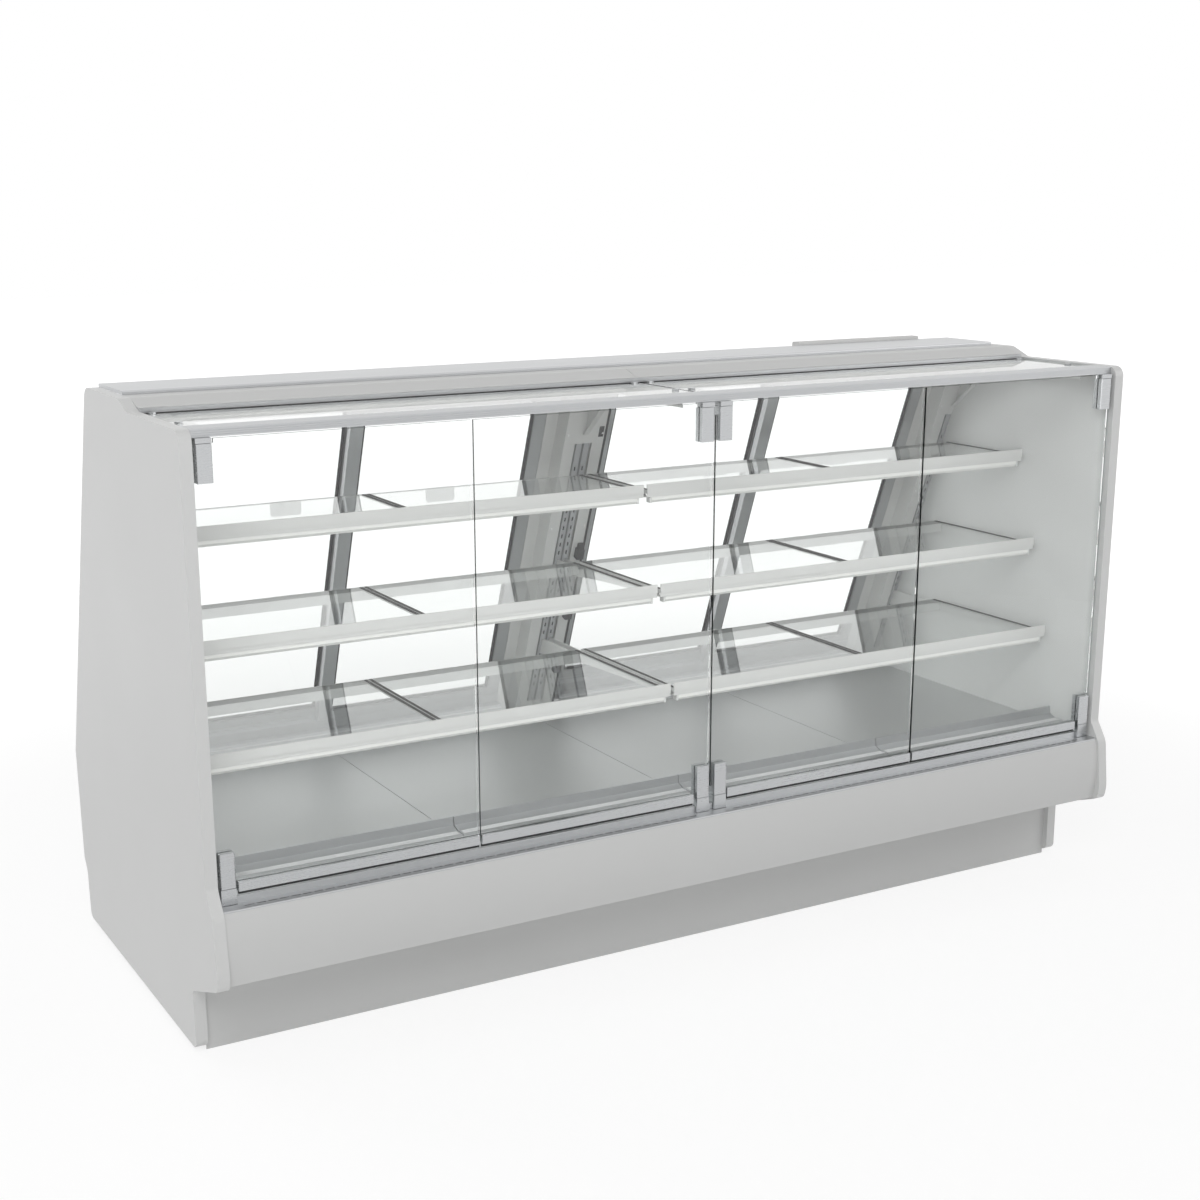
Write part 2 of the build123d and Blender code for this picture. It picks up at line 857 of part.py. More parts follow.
def slot_rises(top, low):
    """Where the hooks sit: on the sill of each slot that lies behind the arm's root."""
    face = post_depth - heavy_sheet / 2
    lean_drop = face * math.sin(math.radians(rear_lean))
    first = up_slope(standard_first_slot)
    rises = []
    for number in range(standard_slots):
        rise = first + number * standard_slot_pitch + seat_gap
        height = deck_height + rise * rear_cos - lean_drop
        if low < height and height + hook_height < top:
            rises.append(rise)
    return rises


def shelf_frame(level, side, back_rail=True):
    left, right = shelf_span(side)
    front = shelf_front_depths[level]
    back = front + shelf_depths[level]
    top = shelf_tops[level]
    surface = top - shelf_lip
    under = surface - shelf_bar_height
    ledge_top = surface - glass_thickness
    frame = block((left, right), (front, front + sheet), (top - shelf_nose, top))
    frame += block((left, right), (front - shelf_tag_proud, front), (top - shelf_tag_height, top))
    frame += block((left, right), (front, front + shelf_ledge), (top - shelf_nose, top - shelf_nose + sheet))
    frame += block((left, right), (front, front + shelf_ledge), (under, ledge_top))
    for bar_left in (left, right - shelf_bar):
        bar_right = bar_left + shelf_bar
        frame += block((bar_left, bar_right), (front, back), (under, ledge_top))
    frame += block((left, left + sheet * 2), (front, back), (under, surface))
    frame += block((right - sheet * 2, right), (front, back), (under, surface))
    middle = (left + right) / 2
    frame += block((middle - shelf_divider / 2, middle + shelf_divider / 2), (front, back), (under, ledge_top))
    web = (middle - shelf_divider_web / 2, middle + shelf_divider_web / 2)
    frame += block(web, (front, back), (under, surface))
    frame += block((left, right), (back - sheet, back), (under, surface))
    if back_rail:
        rail_front = back - shelf_back_rail
        frame += block((left, right), (rail_front, back), (under, ledge_top))
        inside = (left + shelf_bar, right - shelf_bar)
        frame += block(inside, (rail_front, rail_front + sheet), (surface - shelf_back_drop, under))
    centre_line = side * bracket_line
    wall_line = side * (wall_x - bracket_line)
    for line in (centre_line, wall_line):
        frame += shelf_bracket(level, line)
    return frame


def shelf_panes():
    panes = []
    for level, surface_top in enumerate(shelf_tops):
        surface = surface_top - shelf_lip
        front = shelf_front_depths[level]
        back = front + shelf_depths[level] - sheet
        for side in (-1, 1):
            left, right = shelf_span(side)
            middle = (left + right) / 2
            spans = (
                (left + sheet * 2, middle - shelf_divider_web / 2),
                (middle + shelf_divider_web / 2, right - sheet * 2),
            )
            for start, end in spans:
                panes.append(block((start, end), (front + sheet, back), (surface - glass_thickness, surface)))
    return group(panes)


def shelf_lights():
    lights = []
    for level, top in enumerate(shelf_tops):
        front = shelf_front_depths[level] + light_setback - shelf_ledge / 2
        high = top - shelf_nose - seat_gap
        for side in (-1, 1):
            left, right = shelf_span(side)
            x_range = (left + light_end_gap, right - light_end_gap)
            corners = [
                (front, high, 0),
                (front, high - light_height + light_slope, 0),
                (front + light_slope, high - light_height, 0),
                (front + light_depth, high - light_height + light_slope, 0),
                (front + light_depth, high, 0),
            ]
            lights.append(prism(corners, x_range))
    return group(lights)


def tag_plates():
    """Rounded plates that hang at the rear edge of the shelves, evenly spaced."""
    plates = []
    for level, top in enumerate(shelf_tops):
        back = shelf_front_depths[level] + shelf_depths[level]
        high = top - shelf_lip
        for side in (-1, 1):
            left, right = shelf_span(side)
            pitch = (right - left) / (tag_plates_per_shelf + 1)
            for number in range(tag_plates_per_shelf):
                x = left + (number + 1) * pitch
                x_range = (x - tag_plate_width / 2, x + tag_plate_width / 2)
                y_range = (back + seat_gap, back + seat_gap + sheet)
                plate = block(x_range, y_range, (high - tag_plate_height, high))
                plates.append(chamfer(plate.edges().filter_by(Axis.Y), tag_plate_corner))
    return group(plates)


def post_sockets():
    """Lamp sockets and the switch pair on the middle post."""
    pieces = []
    for height in socket_heights:
        up = up_slope(height)
        x_range = (socket_line - socket_width / 2, socket_line + socket_width / 2)
        out_range = (post_depth, post_depth + socket_depth)
        body = slanted(door_plane, x_range, (up, up + socket_height), out_range)
        plug_x = (socket_line - plug_width / 2, socket_line + plug_width / 2)
        plug_up = (up + socket_height, up + socket_height + plug_height)
        plug_low = post_depth + (socket_depth - plug_depth) / 2
        pieces.append(body + slanted(door_plane, plug_x, plug_up, (plug_low, plug_low + plug_depth)))
    up = up_slope(switch_height)
    for number in range(2):
        low = up + number * (switch_length / 2 + slide_gap)
        x_range = (socket_line - switch_width / 2, socket_line + switch_width / 2)
        out_range = (post_depth, post_depth + sheet)
        pieces.append(slanted(door_plane, x_range, (low, low + switch_length / 2), out_range))
    return group(pieces)


def arm_lines():
    return ((-wall_x, -wall_x + arm_width), (-arm_width, arm_width), (wall_x - arm_width, wall_x))


def canopy_brackets():
    """Cantilever arms on the posts, each with a gusset against the post's face."""
    arms = []
    header_back = -header_reach + header_depth
    gusset_lines = (-wall_x + heavy_sheet / 2, 0, wall_x - heavy_sheet / 2)
    for (left, right), gusset_x in zip(arm_lines(), gusset_lines):
        arm = block((left, right), (header_back, arm_rear), (arm_bottom, arm_top))
        hollow = (left + heavy_sheet, right - heavy_sheet)
        arm -= block(hollow, (header_back - over, arm_rear + over), (arm_bottom - over, arm_top - heavy_sheet))
        post_low = post_plane_depth(gusset_height)
        post_top = post_plane_depth(arm_top)
        corners = [
            (post_low - seat_gap, gusset_height, 0),
            (post_low - gusset_reach, arm_bottom, 0),
            (post_low - gusset_reach, arm_top - heavy_sheet / 2, 0),
            (post_top - seat_gap, arm_top - heavy_sheet / 2, 0),
        ]
        web = (gusset_x - heavy_sheet / 2, gusset_x + heavy_sheet / 2)
        arms.append(arm + prism(corners, web))
    return group(arms)


def post_plane_depth(height):
    """Depth of the posts' front face at a height."""
    return door_plane_depth - rear_slope * height - post_depth / rear_cos


def canopy_header():
    """Front extrusion with grooves along its face and a slot for the glass above."""
    back = -header_reach + header_depth
    header = block((-wall_x, wall_x), (-header_reach, back), (header_bottom, header_top))
    pitch = (header_top - header_bottom) / (header_grooves + 1)
    for number in range(1, header_grooves + 1):
        z = header_bottom + number * pitch
        groove_y = (-header_reach - over, -header_reach + header_groove)
        header -= block((-wall_x, wall_x), groove_y, (z - header_groove / 2, z + header_groove / 2))
    return header


def canopy_rear_rail():
    low, high = arm_top + seat_gap, fascia_low
    y_range = (canopy_depth, canopy_depth + canopy_rail_depth)
    rail = block((-wall_x, wall_x), y_range, (low, high))
    pitch = (high - low) / (rail_grooves + 1)
    for number in range(1, rail_grooves + 1):
        z = low + number * pitch
        groove_y = (canopy_depth - over, canopy_depth + header_groove)
        rail -= block((-wall_x, wall_x), groove_y, (z - header_groove / 2, z + header_groove / 2))
    for side in (-1, 1):
        ends = sorted((side * (arm_width + seat_gap), side * (wall_x - arm_width - seat_gap)))
        rail += block(ends, y_range, (low - canopy_rail_drop, low))
    return rail


def canopy_bolts():
    lines = (canopy_bolt_inset, wall_x - canopy_bolt_inset)
    return [(side * x, y) for side in (-1, 1) for x in lines for y in canopy_bolt_depths]


def canopy_glass():
    panes = []
    z_range = (arm_top + seat_gap, arm_top + seat_gap + glass_thickness)
    y_range = (-header_reach + header_depth + seat_gap, canopy_depth - seat_gap)
    for side in (-1, 1):
        x_range = sorted((side * glass_meeting_gap, side * (wall_x - glass_end_gap)))
        pane = block(x_range, y_range, z_range)
        hole = RegularPolygon(canopy_bolt_radius + canopy_bolt_gap, canopy_bolt_sides)
        for x, y in canopy_bolts():
            pane -= standing(hole, (x, y, z_range[0] - over), glass_thickness + 2 * over)
        panes.append(pane)
    return group(panes)


def canopy_bolt_set():
    """Studs that stand on the arms and pass through the glass, each under a cap."""
    bolts = []
    head_low = arm_top + glass_thickness + 2 * seat_gap
    stud = RegularPolygon(canopy_bolt_radius, canopy_bolt_sides)
    cap = RegularPolygon(canopy_bolt_head, canopy_bolt_sides)
    for x, y in canopy_bolts():
        shank = standing(stud, (x, y, arm_top + seat_gap), head_low - arm_top - seat_gap)
        bolts.append(shank + standing(cap, (x, y, head_low), canopy_bolt_head_height))
    return group(bolts)


def canopy_fascia():
    """The S-shaped cover behind the canopy glass, in two lengths."""
    low = fascia_low + seat_gap
    high = panel_top - sheet - seat_gap
    points = [
        (canopy_depth, low),
        (canopy_depth + fascia_lead, low),
        (canopy_depth + canopy_step_run, high),
        (worktop_rear - worktop_overhang, high),
    ]
    lengths = []
    for side in (-1, 1):
        x_range = sorted((side * fascia_meeting_gap / 2, side * wall_x))
        lengths.append(prism(bent_strip(points, sheet, bend=fascia_bend), x_range))
    return group(lengths)


def canopy_lamps():
    lamps = []
    low, high = lamp_bottom, lamp_bottom + lamp_height
    y_low, y_high = lamp_depth, lamp_depth + lamp_width
    for side in (-1, 1):
        x_range = sorted((side * lamp_end_gap, side * (wall_x - lamp_end_gap)))
        corners = [
            (y_low, high, 0),
            (y_low, low + lamp_height / 2, 0),
            (y_low + lamp_width / 3, low, 0),
            (y_high, low, 0),
            (y_high, high, 0),
        ]
        lamp = prism(corners, x_range)
        middle = (x_range[0] + x_range[1]) / 2
        for x in (x_range[0] + lamp_hanger_inset, middle, x_range[1] - lamp_hanger_inset):
            hanger_x = (x - lamp_hanger / 2, x + lamp_hanger / 2)
            lamp += block(hanger_x, (y_high, canopy_depth - seat_gap), (high - 2 * sheet, high - sheet))
        lamps.append(lamp)
    return group(lamps)


def worktop():
    slab = block((-wall_x, wall_x), (worktop_front, worktop_rear), (panel_top, worktop_height))
    edges = slab.edges().filter_by(Axis.X).group_by(Axis.Z)[-1]
    return fillet(edges, worktop_round)


def top_beam():
    """Folded box under the worktop that ties the posts together."""
    high = panel_top - sheet - 2 * seat_gap
    beam = block((-wall_x, wall_x), (beam_front, arm_rear), (arm_top, high))
    inside_x = (-wall_x - over, wall_x + over)
    return beam - block(inside_x, (beam_front + sheet, arm_rear - sheet), (arm_top - over, high - sheet))


def rear_raceway():
    high = worktop_height + raceway_rise
    low = high - raceway_height
    corners = [
        (worktop_rear + seat_gap, low, 0),
        (worktop_rear + seat_gap, high, worktop_round),
        (worktop_rear + raceway_depth, high, 2 * worktop_round),
        (worktop_rear + raceway_depth, low, 0),
    ]
    end = wall_x - raceway_inset
    return prism(corners, (end - raceway_length, end))


def door_spans(side):
    """Left (rear track) and right (front track) door of one half."""
    low = jamb_half_width if side > 0 else -wall_x + jamb_half_width
    high = wall_x - jamb_half_width if side > 0 else -jamb_half_width
    middle = (low + high) / 2
    left = (low + slide_gap, middle + door_stile / 2)
    right = (middle - door_stile / 2, high - slide_gap)
    return left, right


def rear_door(span, track):
    """Sash on the front (0) or the rear (1) track; returns the frame and its glass."""
    out = -track * door_spacing
    out_range = (out - door_thickness, out)
    low = up_slope(door_foot_height)
    high = low + door_length
    left, right = span
    frame = slanted(door_plane, span, (low, high), out_range)
    inside_x = (left + door_stile, right - door_stile)
    inside_up = (low + door_rail, high - door_rail)
    frame -= slanted(door_plane, inside_x, inside_up, (out - door_thickness - over, out + over))
    pull_up = (low + high - pull_height) / 2
    stile = right - door_stile / 2 if track == 0 else left + door_stile / 2
    pull_x = (stile - pull_width / 2, stile + pull_width / 2)
    pull_out = (out - door_thickness - over, out - door_thickness + pull_depth)
    frame -= slanted(door_plane, pull_x, (pull_up, pull_up + pull_height), pull_out)
    middle = out - door_thickness / 2
    glass_out = (middle - door_glass_thickness / 2, middle + door_glass_thickness / 2)
    glass = slanted(door_plane, inside_x, inside_up, glass_out)
    return frame, glass


def door_tracks():
    """Grooved head and sill extrusions between the jambs, the sill on stepped risers."""
    tracks = []
    low = up_slope(door_foot_height)
    high = low + door_length
    out_range = (-jamb_depth, track_front)
    inner_out = (-jamb_depth + track_wall, track_front - track_wall)
    for side in (-1, 1):
        left_door, right_door = door_spans(side)
        x_range = (left_door[0] - slide_gap, right_door[1] + slide_gap)
        head = slanted(door_plane, x_range, (high - track_groove, high + track_head), out_range)
        foot = slanted(door_plane, x_range, (-jamb_depth, low + track_groove), out_range)
        for number in range(riser_steps):
            step_y, step_z = riser_corner(number)
            foot += block(x_range, (step_y, riser_meeting(step_z)), (deck_height, step_z))
        for number in range(riser_steps):
            step_y, step_z = riser_corner(number)
            inside = (step_y + sheet, riser_meeting(step_z) + track_wall)
            foot -= block(x_range, inside, (deck_height - over, step_z - sheet))
        foot -= slanted(door_plane, x_range, (-jamb_depth - over, low - 2 * track_groove), inner_out)
        for track in (0, 1):
            out = -track * door_spacing
            groove = (out - door_thickness - slide_gap, out + slide_gap)
            head -= slanted(door_plane, x_range, (high - track_groove - over, high + seat_gap), groove)
            foot -= slanted(door_plane, x_range, (low - seat_gap, low + track_groove + over), groove)
        tracks += [trim(head, 0, arm_top - seat_gap), trim(foot, deck_height, arm_bottom)]
    return group(tracks)


def riser_corner(number):
    """Depth of a riser's face and height of its step."""
    return deck_rear + deck_ledge_gap + number * riser_run, deck_height + riser_first + number * riser_rise


def riser_meeting(height):
    """Depth at which a step runs into the sill extrusion."""
    return door_plane_depth - rear_slope * height - track_front / rear_cos + track_wall


def service_panel():
    """Rear cover with rows of louvres in front of the condenser."""
    face = rear_reach - panel_face_inset
    low_face = face - rear_notch
    points = [
        (tub_rear + seat_gap, service_panel_top),
        (face, service_panel_top),
        (face, rear_notch_height + rear_notch_half),
        (low_face, rear_notch_height - rear_notch_half),
        (low_face, foot_height),
    ]
    panel = prism(bent_strip(points, -sheet), (-wall_x, wall_x))
    for column in range(louvre_columns):
        x = condenser_place[0] + (column - (louvre_columns - 1) / 2) * (louvre_length + louvre_land)
        for row in range(louvre_rows):
            z = louvre_first_height + row * louvre_pitch
            x_range = (x - louvre_length / 2, x + louvre_length / 2)
            panel -= block(x_range, (low_face - over, low_face + over), (z, z + louvre_height))
    return panel


def finned_block(x_range, y_range, z_range, fins, fin):
    """Upright fins that the air passes between, standing on a web."""
    core = block(x_range, y_range, z_range)
    pitch = (x_range[1] - x_range[0] - fin) / (fins - 1)
    for number in range(fins - 1):
        gap_low = x_range[0] + fin + number * pitch
        gap_y = (y_range[0] - over, y_range[1] + over)
        core -= block((gap_low, gap_low + pitch - fin), gap_y, (z_range[0] + coil_web, z_range[1] + over))
    return core


def evaporator_coil():
    """Finned block with the return bends of its tube at both ends."""
    low = tub_floor + seat_gap
    high = low + coil_height
    x_range = (coil_start, coil_start + coil_length)
    y_range = (coil_front, coil_front + coil_depth)
    coil = finned_block(x_range, y_range, (low, high), coil_fins, coil_fin)
    row_pitch = coil_depth / coil_rows
    half = (high + low) / 2
    for number in range(1, coil_rows):
        y = coil_front + number * row_pitch
        end = x_range[number % 2]
        turn = 1 if number % 2 else -1
        reach = sorted((end, end + turn * return_bend))
        bend_y = (y - row_pitch / 2 - return_tube / 2, y + row_pitch / 2 + return_tube / 2)
        tube_z = (half - return_tube / 2, half + return_tube / 2)
        bend = block(reach, bend_y, tube_z)
        outer = bend.edges().filter_by(Axis.Z).group_by(Axis.X)[-1 if turn > 0 else 0]
        bend = chamfer(outer, return_tube)
        inner_y = (bend_y[0] + return_tube, bend_y[1] - return_tube)
        coil += bend - block(sorted((end, end + turn * (return_bend - return_tube))), inner_y, tube_z)
    return coil


def fan_rotor(radius):
    """Hub with pitched blades and a bore for the shaft, its axis along Y."""
    hub = extrude(RegularPolygon(fan_hub_radius, 2 * fan_blades), fan_hub_length / 2, both=True)
    rotor = Rot(90, 0, 0) * hub
    root = fan_hub_radius / 2
    for number in range(fan_blades):
        blade = Pos((root + radius) / 2, 0, 0) * Rot(fan_blade_pitch, 0, 0)
        blade = blade * Box(radius - root, fan_blade_sheet, fan_blade_width)
        rotor += Rot(0, (number + 0.5) * 360 / fan_blades, 0) * blade
    return rotor - Cylinder(shaft_radius + running_gap, 2 * fan_hub_length, rotation=(90, 0, 0))


def fan_axis_height():
    return tub_floor + fan_radius + fan_tip_gap + fan_floor_gap


def fan_places():
    return [coil_start + offset for offset in fan_offsets]


def fan_opening(radius):
    """The hole that a rotor turns in, with room at its tips."""
    tip = (radius + fan_tip_gap) / math.cos(math.pi / fan_ring_sides)
    return Rot(90, 0, 0) * extrude(RegularPolygon(tip, fan_ring_sides), over, both=True)


def evaporator_fan(place):
    return Pos(place, fan_plate_depth, fan_axis_height()) * fan_rotor(fan_radius)


def fan_motor():
    """Square motor with its shaft towards -Y, the shaft's end at the origin."""
    shaft_length = fan_hub_length + shaft_spare
    half = motor_half_width
    motor = block((-half, half), (shaft_length, shaft_length + motor_length), (-half, half))
    return motor + Pos(0, shaft_length / 2, 0) * Cylinder(shaft_radius, shaft_length, rotation=(90, 0, 0))


def fan_plate():
    """Plenum wall under the deck with the fan openings, each motor on two straps."""
    low, high = tub_floor + seat_gap, deck_height - pan_rim - seat_gap
    x_reach = wall_x - insulation - seat_gap
    y = fan_plate_depth
    plate = block((-x_reach, x_reach), (y, y + sheet), (low, high))
    plate += block((-x_reach, x_reach), (y, y + fan_plate_flange), (high - sheet, high))
    motor_y = y - fan_hub_length / 2
    strap_y = motor_y + fan_hub_length + shaft_spare + motor_length / 2
    strap_z = (fan_axis_height() - motor_strap / 2, fan_axis_height() + motor_strap / 2)
    for place in fan_places():
        plate -= Pos(place, y, fan_axis_height()) * fan_opening(fan_radius)
        plate += Pos(place, motor_y, fan_axis_height()) * fan_motor()
        far = fan_radius + motor_strap_reach
        for side in (-1, 1):
            strap_x = sorted((place + side * motor_half_width, place + side * far))
            plate += block(strap_x, (strap_y, strap_y + sheet), strap_z)
            foot_x = sorted((place + side * (far - sheet), place + side * far))
            plate += block(foot_x, (y, strap_y + sheet), strap_z)
    return plate


def unit_tray():
    return block((tray_left, tray_left + tray_width), (tray_front, tray_rear), (tray_height, tray_height + sheet))


def compressor():
    """Hermetic shell with domed ends on four rubber-mounted feet, standing on its tray."""
    x, y = compressor_place
    low = tray_height + sheet
    base, top = low + compressor_lift, low + compressor_height
    crown = compressor_radius - compressor_dome
    profile = Polyline(
        (0, base),
        (crown, base),
        (compressor_radius, base + compressor_dome),
        (compressor_radius, top - compressor_dome),
        (crown, top),
        (0, top),
        close=True,
    )
    body = Pos(x, y, 0) * revolve(Plane.XZ * make_face(profile), Axis.Z)
    length, depth, thickness = compressor_plate
    plate_z = (low + compressor_plate_lift, base + thickness)
    body += block((x - length / 2, x + length / 2), (y - depth / 2, y + depth / 2), plate_z)
    foot_x, foot_y = length / 2 - compressor_foot_inset, depth / 2 - compressor_foot_inset
    foot = RegularPolygon(compressor_foot_radius, foot_sides)
    for side_x in (-1, 1):
        for side_y in (-1, 1):
            body += standing(foot, (x + side_x * foot_x, y + side_y * foot_y, low), compressor_plate_lift)
    cover_x, cover_y, cover_z = terminal_cover
    cover_low = x + compressor_radius - cover_x / 3
    cover_rise = (low + terminal_lift, low + terminal_lift + cover_z)
    body += block((cover_low, cover_low + cover_x), (y - cover_y / 2, y + cover_y / 2), cover_rise)
    return group([body, unit_tray()])


def condenser():
    """Finned block with the fan's cowl in front of it and the motor on a stand."""
    x, y = condenser_place
    low = tray_height + sheet
    high = low + condenser_height
    half = condenser_width / 2
    front = y - condenser_thickness
    coil = finned_block((x - half, x + half), (front, y), (low, high), condenser_fins, condenser_fin)
    cowl_front = front - cowl_depth
    cowl = block((x - half, x + half), (cowl_front, front), (low, high))
    inside_x = (x - half + sheet, x + half - sheet)
    cowl -= block(inside_x, (cowl_front + sheet, front + over), (low + sheet, high - sheet))
    axis_z = (low + high) / 2
    cowl -= Pos(x, cowl_front, axis_z) * fan_opening(condenser_fan_radius)
    shaft_y = condenser_fan_depth() + fan_hub_length / 2
    motor = Pos(x, shaft_y, axis_z) * Rot(0, 0, 180) * fan_motor()
    stand_y = shaft_y - fan_hub_length - shaft_spare - motor_length / 2
    stand_x = (x - motor_strap / 2, x + motor_strap / 2)
    motor += block(stand_x, (stand_y - motor_strap / 2, stand_y + motor_strap / 2), (low, axis_z))
    return group([coil + cowl, motor])


def condenser_fan_depth():
    return condenser_place[1] - condenser_thickness - cowl_depth


def condenser_fan():
    axis_z = tray_height + sheet + condenser_height / 2
    return Pos(condenser_place[0], condenser_fan_depth(), axis_z) * fan_rotor(condenser_fan_radius)


def condensate_pan():
    length, depth, height = pan_size
    x, y = frame_stations()[1] + pan_offset, pan_depth
    z_range = (base_rail_top + seat_gap, base_rail_top + seat_gap + height)
    pan = block((x - length / 2, x + length / 2), (y - depth / 2, y + depth / 2), z_range)
    inside_x = (x - length / 2 + sheet, x + length / 2 - sheet)
    inside_y = (y - depth / 2 + sheet, y + depth / 2 - sheet)
    return pan - block(inside_x, inside_y, (z_range[0] + sheet, z_range[1] + over))


def electrical_box():
    """Box on the cross member, with a lid that laps over its top."""
    length, depth, height = box_size
    x, y = frame_stations()[1], box_depth
    low = base_rail_top + seat_gap
    high = low + height
    body = block((x - length / 2, x + length / 2), (y - depth / 2, y + depth / 2), (low, high))
    lid_x = (x - length / 2 - box_lid_lap, x + length / 2 + box_lid_lap)
    lid_y = (y - depth / 2 - box_lid_lap, y + depth / 2 + box_lid_lap)
    return body + block(lid_x, lid_y, (high - box_lid, high + box_lid_lap))


def pipe_places():
    x, y = compressor_place
    return [(x + along, y + across) for along, across in pipe_offsets]


def refrigerant_pipes():
    """Suction and liquid lines from the compressor up through the tub floor to the coil."""
    pipes = []
    coil_end = coil_start + coil_length + seat_gap
    start = tray_height + sheet + compressor_height + seat_gap
    for number, (x, y) in enumerate(pipe_places()):
        entry = tub_floor + pipe_entry + number * pipe_entry_pitch
        route = FilletPolyline((x, y, start), (x, y, entry), (coil_end, y, entry), radius=pipe_bend)
        section = Plane((x, y, start)) * RegularPolygon(pipe_radius, pipe_sides)
        pipes.append(sweep(section, path=route))
    return group(pipes)


os.makedirs("parts", exist_ok=True)
right_panel = end_panel()
panel_bounds = right_panel.bounding_box()
frame_shift = -(panel_bounds.min.Y + panel_bounds.max.Y) / 2
export("end_panel_left", mirror(right_panel, about=Plane.YZ))
export("end_panel_right", right_panel)
export("base_frame", base_frame())
export("levelling_feet", levelling_feet())
export("insulated_tub", insulated_tub())
export("kick_panel", kick_panel())
export("lower_front_panel", lower_front_panel())
export("slotted_front_sill", front_sill())
export("front_air_rails", air_rails())
export("deck_pans", deck_pans())
for number in range(4):
    export(f"glass_door_{number + 1}_pane", glass_pane(number))
    export(f"glass_door_{number + 1}_fittings", pane_fittings(number))
export("pivot_blocks", pivot_blocks())
for level, level_name in enumerate(shelf_levels):
    export(f"shelf_frame_left_{level_name}", shelf_frame(level, -1, back_rail=level > 0))
    export(f"shelf_frame_right_{level_name}", shelf_frame(level, 1))
export("shelf_glass", shelf_panes())
export("shelf_light_bars", shelf_lights())
export("rear_tag_plates", tag_plates())
export("shelf_standards", shelf_standards())
export("rear_posts", rear_posts())
export("lamp_sockets", post_sockets())
export("canopy_frame", group([canopy_brackets(), top_beam()]))
export("canopy_header", canopy_header())
export("canopy_rear_rail", canopy_rear_rail())
export("canopy_glass", canopy_glass())
export("canopy_bolts", canopy_bolt_set())
export("canopy_fascia", canopy_fascia())
export("canopy_lamps", canopy_lamps())
export("worktop", worktop())
export("rear_raceway", rear_raceway())
door_number = 0
for side in (-1, 1):
    left_span, right_span = door_spans(side)
    for span, track in ((left_span, 1), (right_span, 0)):
        door_number += 1
        sash, sash_glass = rear_door(span, track)
        export(f"rear_door_{door_number}_frame", sash)
        export(f"rear_door_{door_number}_glass", sash_glass)
export("rear_door_tracks", door_tracks())
export("rear_service_panel", service_panel())
export("evaporator_coil", evaporator_coil())
for number, place in enumerate(fan_places()):
    export(f"evaporator_fan_{number + 1}", evaporator_fan(place))
export("evaporator_fan_plate", fan_plate())
export("compressor", compressor())
export("condenser_coil", condenser())
export("condenser_fan", condenser_fan())
export("condensate_pan", condensate_pan())
export("electrical_box", electrical_box())
export("refrigerant_pipes", refrigerant_pipes())
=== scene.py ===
"""Refrigerated display case: finishes, trim, small fittings and a pale studio."""
import math

import bmesh
import bpy
from bpy.props import FloatProperty, FloatVectorProperty, IntProperty, PointerProperty
from mathutils import Matrix, Vector


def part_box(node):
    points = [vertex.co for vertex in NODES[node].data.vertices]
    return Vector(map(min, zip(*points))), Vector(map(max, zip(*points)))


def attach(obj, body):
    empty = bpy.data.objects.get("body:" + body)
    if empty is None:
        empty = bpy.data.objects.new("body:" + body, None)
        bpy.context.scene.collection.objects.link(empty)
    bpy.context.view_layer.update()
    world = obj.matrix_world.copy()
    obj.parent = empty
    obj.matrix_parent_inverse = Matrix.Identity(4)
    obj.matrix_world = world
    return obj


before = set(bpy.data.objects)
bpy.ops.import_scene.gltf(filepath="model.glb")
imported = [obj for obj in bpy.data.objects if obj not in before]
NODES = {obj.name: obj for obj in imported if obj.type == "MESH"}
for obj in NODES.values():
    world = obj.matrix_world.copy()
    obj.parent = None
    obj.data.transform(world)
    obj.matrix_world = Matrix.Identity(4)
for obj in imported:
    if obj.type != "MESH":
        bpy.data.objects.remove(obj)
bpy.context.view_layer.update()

bl_info = {
    "name": "Refrigerated Display Case",
    "version": (1, 0, 0),
    "blender": (4, 5, 0),
    "location": "View3D > Sidebar > Display Case",
    "description": "Finishes and small fittings for a refrigerated display case",
    "category": "Add Mesh",
}

# The kick panel's front face and ends, and the deck's top, from which places are measured
KICK_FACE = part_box("kick_panel")[0][1]
WALL_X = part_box("kick_panel")[1][0]
DECK_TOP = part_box("deck_pans")[1][2]


# Sizes and colours that a user would change


class CaseColours(bpy.types.PropertyGroup):
    """Colours of the paints, metals, plastics and glass"""

    paint: FloatVectorProperty(
        name="Paint", description="Satin white paint outside and inside", subtype="COLOR",
        default=(0.66, 0.665, 0.66), min=0, max=1)
    end_skin: FloatVectorProperty(
        name="End panel skin", description="White skin of the end panels", subtype="COLOR",
        default=(0.70, 0.705, 0.70), min=0, max=1)
    steel: FloatVectorProperty(
        name="Stainless steel", description="Brushed steel of the sill, deck and worktop", subtype="COLOR",
        default=(0.56, 0.57, 0.58), min=0, max=1)
    aluminium: FloatVectorProperty(
        name="Aluminium", description="Anodised extrusions", subtype="COLOR",
        default=(0.52, 0.53, 0.54), min=0, max=1)
    glass_edge: FloatVectorProperty(
        name="Glass edge", description="Colour seen along the polished edges of the glass", subtype="COLOR",
        default=(0.02, 0.05, 0.045), min=0, max=1)
    # Also colours the dark strips of painted shade under the sill slots and behind the standards' slots
    gasket: FloatVectorProperty(
        name="Gasket", description="Black rubber and brush seals", subtype="COLOR",
        default=(0.018, 0.018, 0.02), min=0, max=1)
    plastic: FloatVectorProperty(
        name="Dark plastic", description="Sockets, fans and the electrical box", subtype="COLOR",
        default=(0.03, 0.03, 0.034), min=0, max=1)
    diffuser: FloatVectorProperty(
        name="Lamp diffuser", description="Opal cover of the lamps", subtype="COLOR",
        default=(0.80, 0.80, 0.78), min=0, max=1)
    copper: FloatVectorProperty(
        name="Copper", description="Refrigerant pipes", subtype="COLOR",
        default=(0.72, 0.36, 0.22), min=0, max=1)


